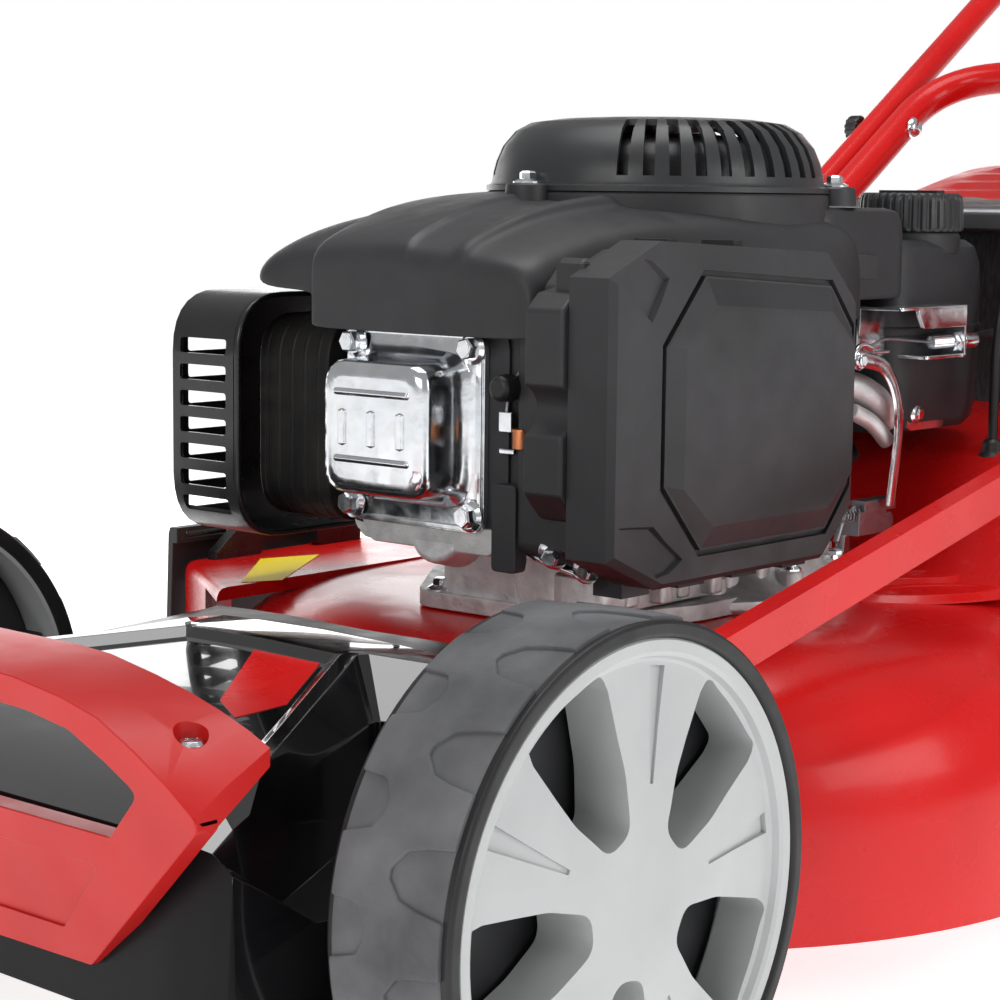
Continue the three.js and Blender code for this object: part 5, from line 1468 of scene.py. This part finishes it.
def cables():
    for name, route in (("brake", BRAKE_ROUTE), ("drive", DRIVE_ROUTE)):
        piece = make(f"{name}_cable_sheath", [tube(curve(route, 6), 3.0, 16)], "sheath", None,
                     (f"{name}_cable",), sharp=60)
        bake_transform(piece)
    grommet = [(3.2, 233), (9, 233), (9.6, 235), (9.6, 238), (6.5, 240), (6, 246), (4.2, 248), (3.2, 248)]
    make("drive_cable_grommet", [lathe(grommet, (109, 560), "z", 32)], "smooth_plastic", "chassis",
         bevel=0.4, steps=2, sharp=45)
    for i, y in enumerate((740, 850)):
        c = beside(188, y, 0)
        band = placed(upright([(12.6, -4), (14.4, -4), (14.4, 4), (12.6, 4)], 36), c,
                      (0, COSINE_33, SINE_33))
        loop = placed(shifted(upright([(3.1, -4), (5.2, -4), (5.2, 4), (3.1, 4)], 24)), beside(188, y, 19),
                      (0, COSINE_33, SINE_33))
        make(f"cable_clip_{i + 1}", [band, loop], "smooth_plastic", "chassis", bevel=0.5, steps=2)
    for i, y in enumerate((1220, 1380)):
        band = placed(upright([(11.1, -4), (12.9, -4), (12.9, 4), (11.1, 4)], 36),
                      (212, y, GRIP[1] - (GRIP[0] - y)), (0, SINE_45, SINE_45))
        make(f"cable_band_{i + 1}", [band], "smooth_plastic", "upper_handle", bevel=0.5, steps=2)
    boxy = prism("x", fillet(slab((1404, 1462), (862, 912)), 10), 197, 211)
    make("bail_pivot_left", [boxy, shifted(boxy, -408)], "smooth_plastic", "upper_handle", bevel=2.5,
         steps=3)


# ---------------------------------------------------------------- rear flap and grass bag
def rear_cover():
    rows = []
    for y, z in ((606, 374), (609, 384), (618, 387.4), (640, 388.6), (700, 390.6), (760, 393), (768, 392.6),
                 (770.6, 389)):
        row = []
        for k in range(25):
            x = -150 + 12.5 * k
            edge = 1 - (abs(x) / 150) ** 10
            ripple = 1.6 if 620 < y < 765 and k % 4 == 2 else 0
            row.append((x, y, z - 3.0 * (1 - edge) + ripple))
        rows.append(row)
    make("rear_flap_moulding", [sheet(rows)], "black_plastic", "rear_flap", ("rear_flap",), skin=2.6,
         bevel=1.0, steps=3, sharp=50)
    make("rear_flap_rod", [round_bar("x", 4, -207, 207, (614, 383))], "steel", "rear_flap")


def bag_ring(y, low, high, swell):
    """Section of the bag across the mower, its sides and floor swollen between the seams."""
    ring = []
    corners = fillet([(-147, low), (147, low), (147, high), (-147, high)], [26, 26, 8, 8], 5)
    for (x0, z0), (x1, z1) in zip(corners, corners[1:] + corners[:1]):
        count = max(1, round(math.dist((x0, z0), (x1, z1)) / 18))
        for k in range(count):
            t = k / count
            x, z = x0 + (x1 - x0) * t, z0 + (z1 - z0) * t
            side = math.sin(math.pi * min(1, max(0, (z - low) / (high - low))))
            floor = math.sin(math.pi * (x + 147) / 294) if z < low + 2 else 0
            wave = 1.2 * math.sin(y * 0.071 + z * 0.043) * side
            ring.append((x + math.copysign(swell * side + wave, x) * (abs(x) > 100), y,
                         z - swell * 0.9 * floor))
    return ring


def walk_ring(ring, share):
    """Point at a share of the way round a closed ring."""
    closed = ring + ring[:1]
    total = sum(math.dist(a, b) for a, b in zip(closed, closed[1:]))
    return walk(closed, total * share)


def grass_catcher():
    rings = []
    stations = [(648.5, 168, 372, 0), (652, 167, 374, 1), (690, 166, 375, 5), (722, 163, 375, 3),
                (758, 154, 375, 2), (800, 153, 375, 6), (850, 153, 375, 8), (900, 153, 375, 8.5),
                (950, 153, 375, 8), (1000, 153, 375, 7), (1050, 153, 375, 5), (1082, 155, 375, 3),
                (1104, 170, 375, 2), (1121, 192, 375, 1), (1126, 205, 374, 0)]
    for y, low, high, swell in stations:
        ring = bag_ring(y, low, high, swell)
        rings.append([walk_ring(ring, k / 120) for k in range(120)])
    make("grass_bag_cloth", [loft(rings)], "fabric", "chassis", ("grass_bag",), level=1, sharp=70)
    seams = []
    for y, low in ((651, 168), (756, 156), (1082, 157)):
        path = [(-146, y, 372), (-149, y, 300), (-149, y, low + 30), (-140, y, low + 6), (-118, y, low - 1),
                (0, y, low - 3), (118, y, low - 1), (140, y, low + 6), (149, y, low + 30), (149, y, 300),
                (146, y, 372)]
        seams.append(tube(curve(path, 5), 2.0, 12))
    make("grass_bag_piping", seams, "sheath", "chassis", slot="bag_fabric", sharp=70)
    rows = []
    for k in range(49):
        y = 649 + 10 * k
        t = (y - 649) / 480
        rise = min(1, max(0, (y - 775) / 240))
        top = 383.4 + 35.5 * rise * rise * (3 - 2 * rise) + 4 * t - 24 * max(0, (t - 0.93) / 0.07) ** 2
        rib = 2.4 if k % 3 == 1 and 3 < k < 45 else 0
        half = [(152, y, 378.2), (152, y, 380.5), (151, y, top - 3.4), (145, y, top - 1), (128, y, top),
                (118, y, top + rib * 0.7), (60, y, top + rib), (0, y, top + rib)]
        rows.append(half[:-1] + [(-x, b, c) for x, b, c in reversed(half)])
    make("grass_bag_lid_moulding", [sheet(rows)], "red_plastic", "chassis", ("grass_bag_lid",), skin=2.4,
         bevel=1.0, steps=2, sharp=50)
    grab = bent([(-60, 900, 424), (-60, 900, 436), (60, 900, 436), (60, 900, 424)], 10, 6)
    make("grass_bag_handle", [tube(grab, 6, 18)], "smooth_plastic", "chassis", sharp=60)


# ---------------------------------------------------------------- studio
WORLD_LIGHT = 0.34
BACKDROP_LIGHT = 1.0
FLOOR_GLOW = 0.75
# Name, place in millimetres, size in metres and power in watts; all point at the foot of the engine.
LAMPS = [
    ("top", (-100, 300, 1900), (1.5, 1.1), 20),
    ("front", (300, -1900, 1100), (1.3, 0.7), 13),
    ("left", (1900, 500, 900), (1.2, 0.9), 12),
    ("behind", (-1500, 1500, 420), (2.2, 0.9), 13),
]


def area_light(name, place, target, size, power):
    data = bpy.data.lights.new(name, "AREA")
    data.shape = "RECTANGLE"
    data.size, data.size_y = size
    data.energy = power
    light = bpy.data.objects.new(name, data)
    light.location = place
    light.visible_camera = False
    light.rotation_euler = (Vector(target) - Vector(place)).to_track_quat("-Z", "Y").to_euler()
    bpy.context.scene.collection.objects.link(light)


def make_studio():
    world = bpy.data.worlds.new("studio")
    world.use_nodes = True
    tree = world.node_tree
    tree.nodes["Background"].inputs["Color"].default_value = (1, 1, 1, 1)
    path = tree.nodes.new("ShaderNodeLightPath")
    level = tree.nodes.new("ShaderNodeMapRange")
    level.inputs["To Min"].default_value = WORLD_LIGHT
    level.inputs["To Max"].default_value = BACKDROP_LIGHT
    tree.links.new(path.outputs["Is Camera Ray"], level.inputs["Value"])
    tree.links.new(level.outputs["Result"], tree.nodes["Background"].inputs["Strength"])
    bpy.context.scene.world = world
    bpy.context.scene.view_settings.view_transform = "Standard"

    target = at(0, 250, 200)
    for name, place, size, power in LAMPS:
        area_light(name, at(*place), target, size, power)

    bpy.ops.mesh.primitive_plane_add(size=16, location=(0, 0, -0.0005))
    floor = bpy.context.object
    floor.name = "floor"
    pale = shader("floor_pale", (0.93, 0.93, 0.93), 0.6)
    drive(pale, "Roughness", spread(pale, noise(pale, 3, 2), 0.55, 0.65))
    glow = pale.node_tree.nodes["Principled BSDF"]
    glow.inputs["Emission Color"].default_value = (1, 1, 1, 1)
    glow.inputs["Emission Strength"].default_value = FLOOR_GLOW
    floor.data.materials.append(pale)


make_camera()
paint_frame()
wheels()
filter_cover()
filter_base()
valve_cover()
cylinder()
engine_base()
blower_housing()
recoil_dome()
guard()
fuel_tank()
fuel_cap()
dipstick()
controls()
ignition()
carry_handle()
fairing()
deck()
side_discharge()
running_gear()
belt()
handles()
cables()
rear_cover()
grass_catcher()
make_studio()
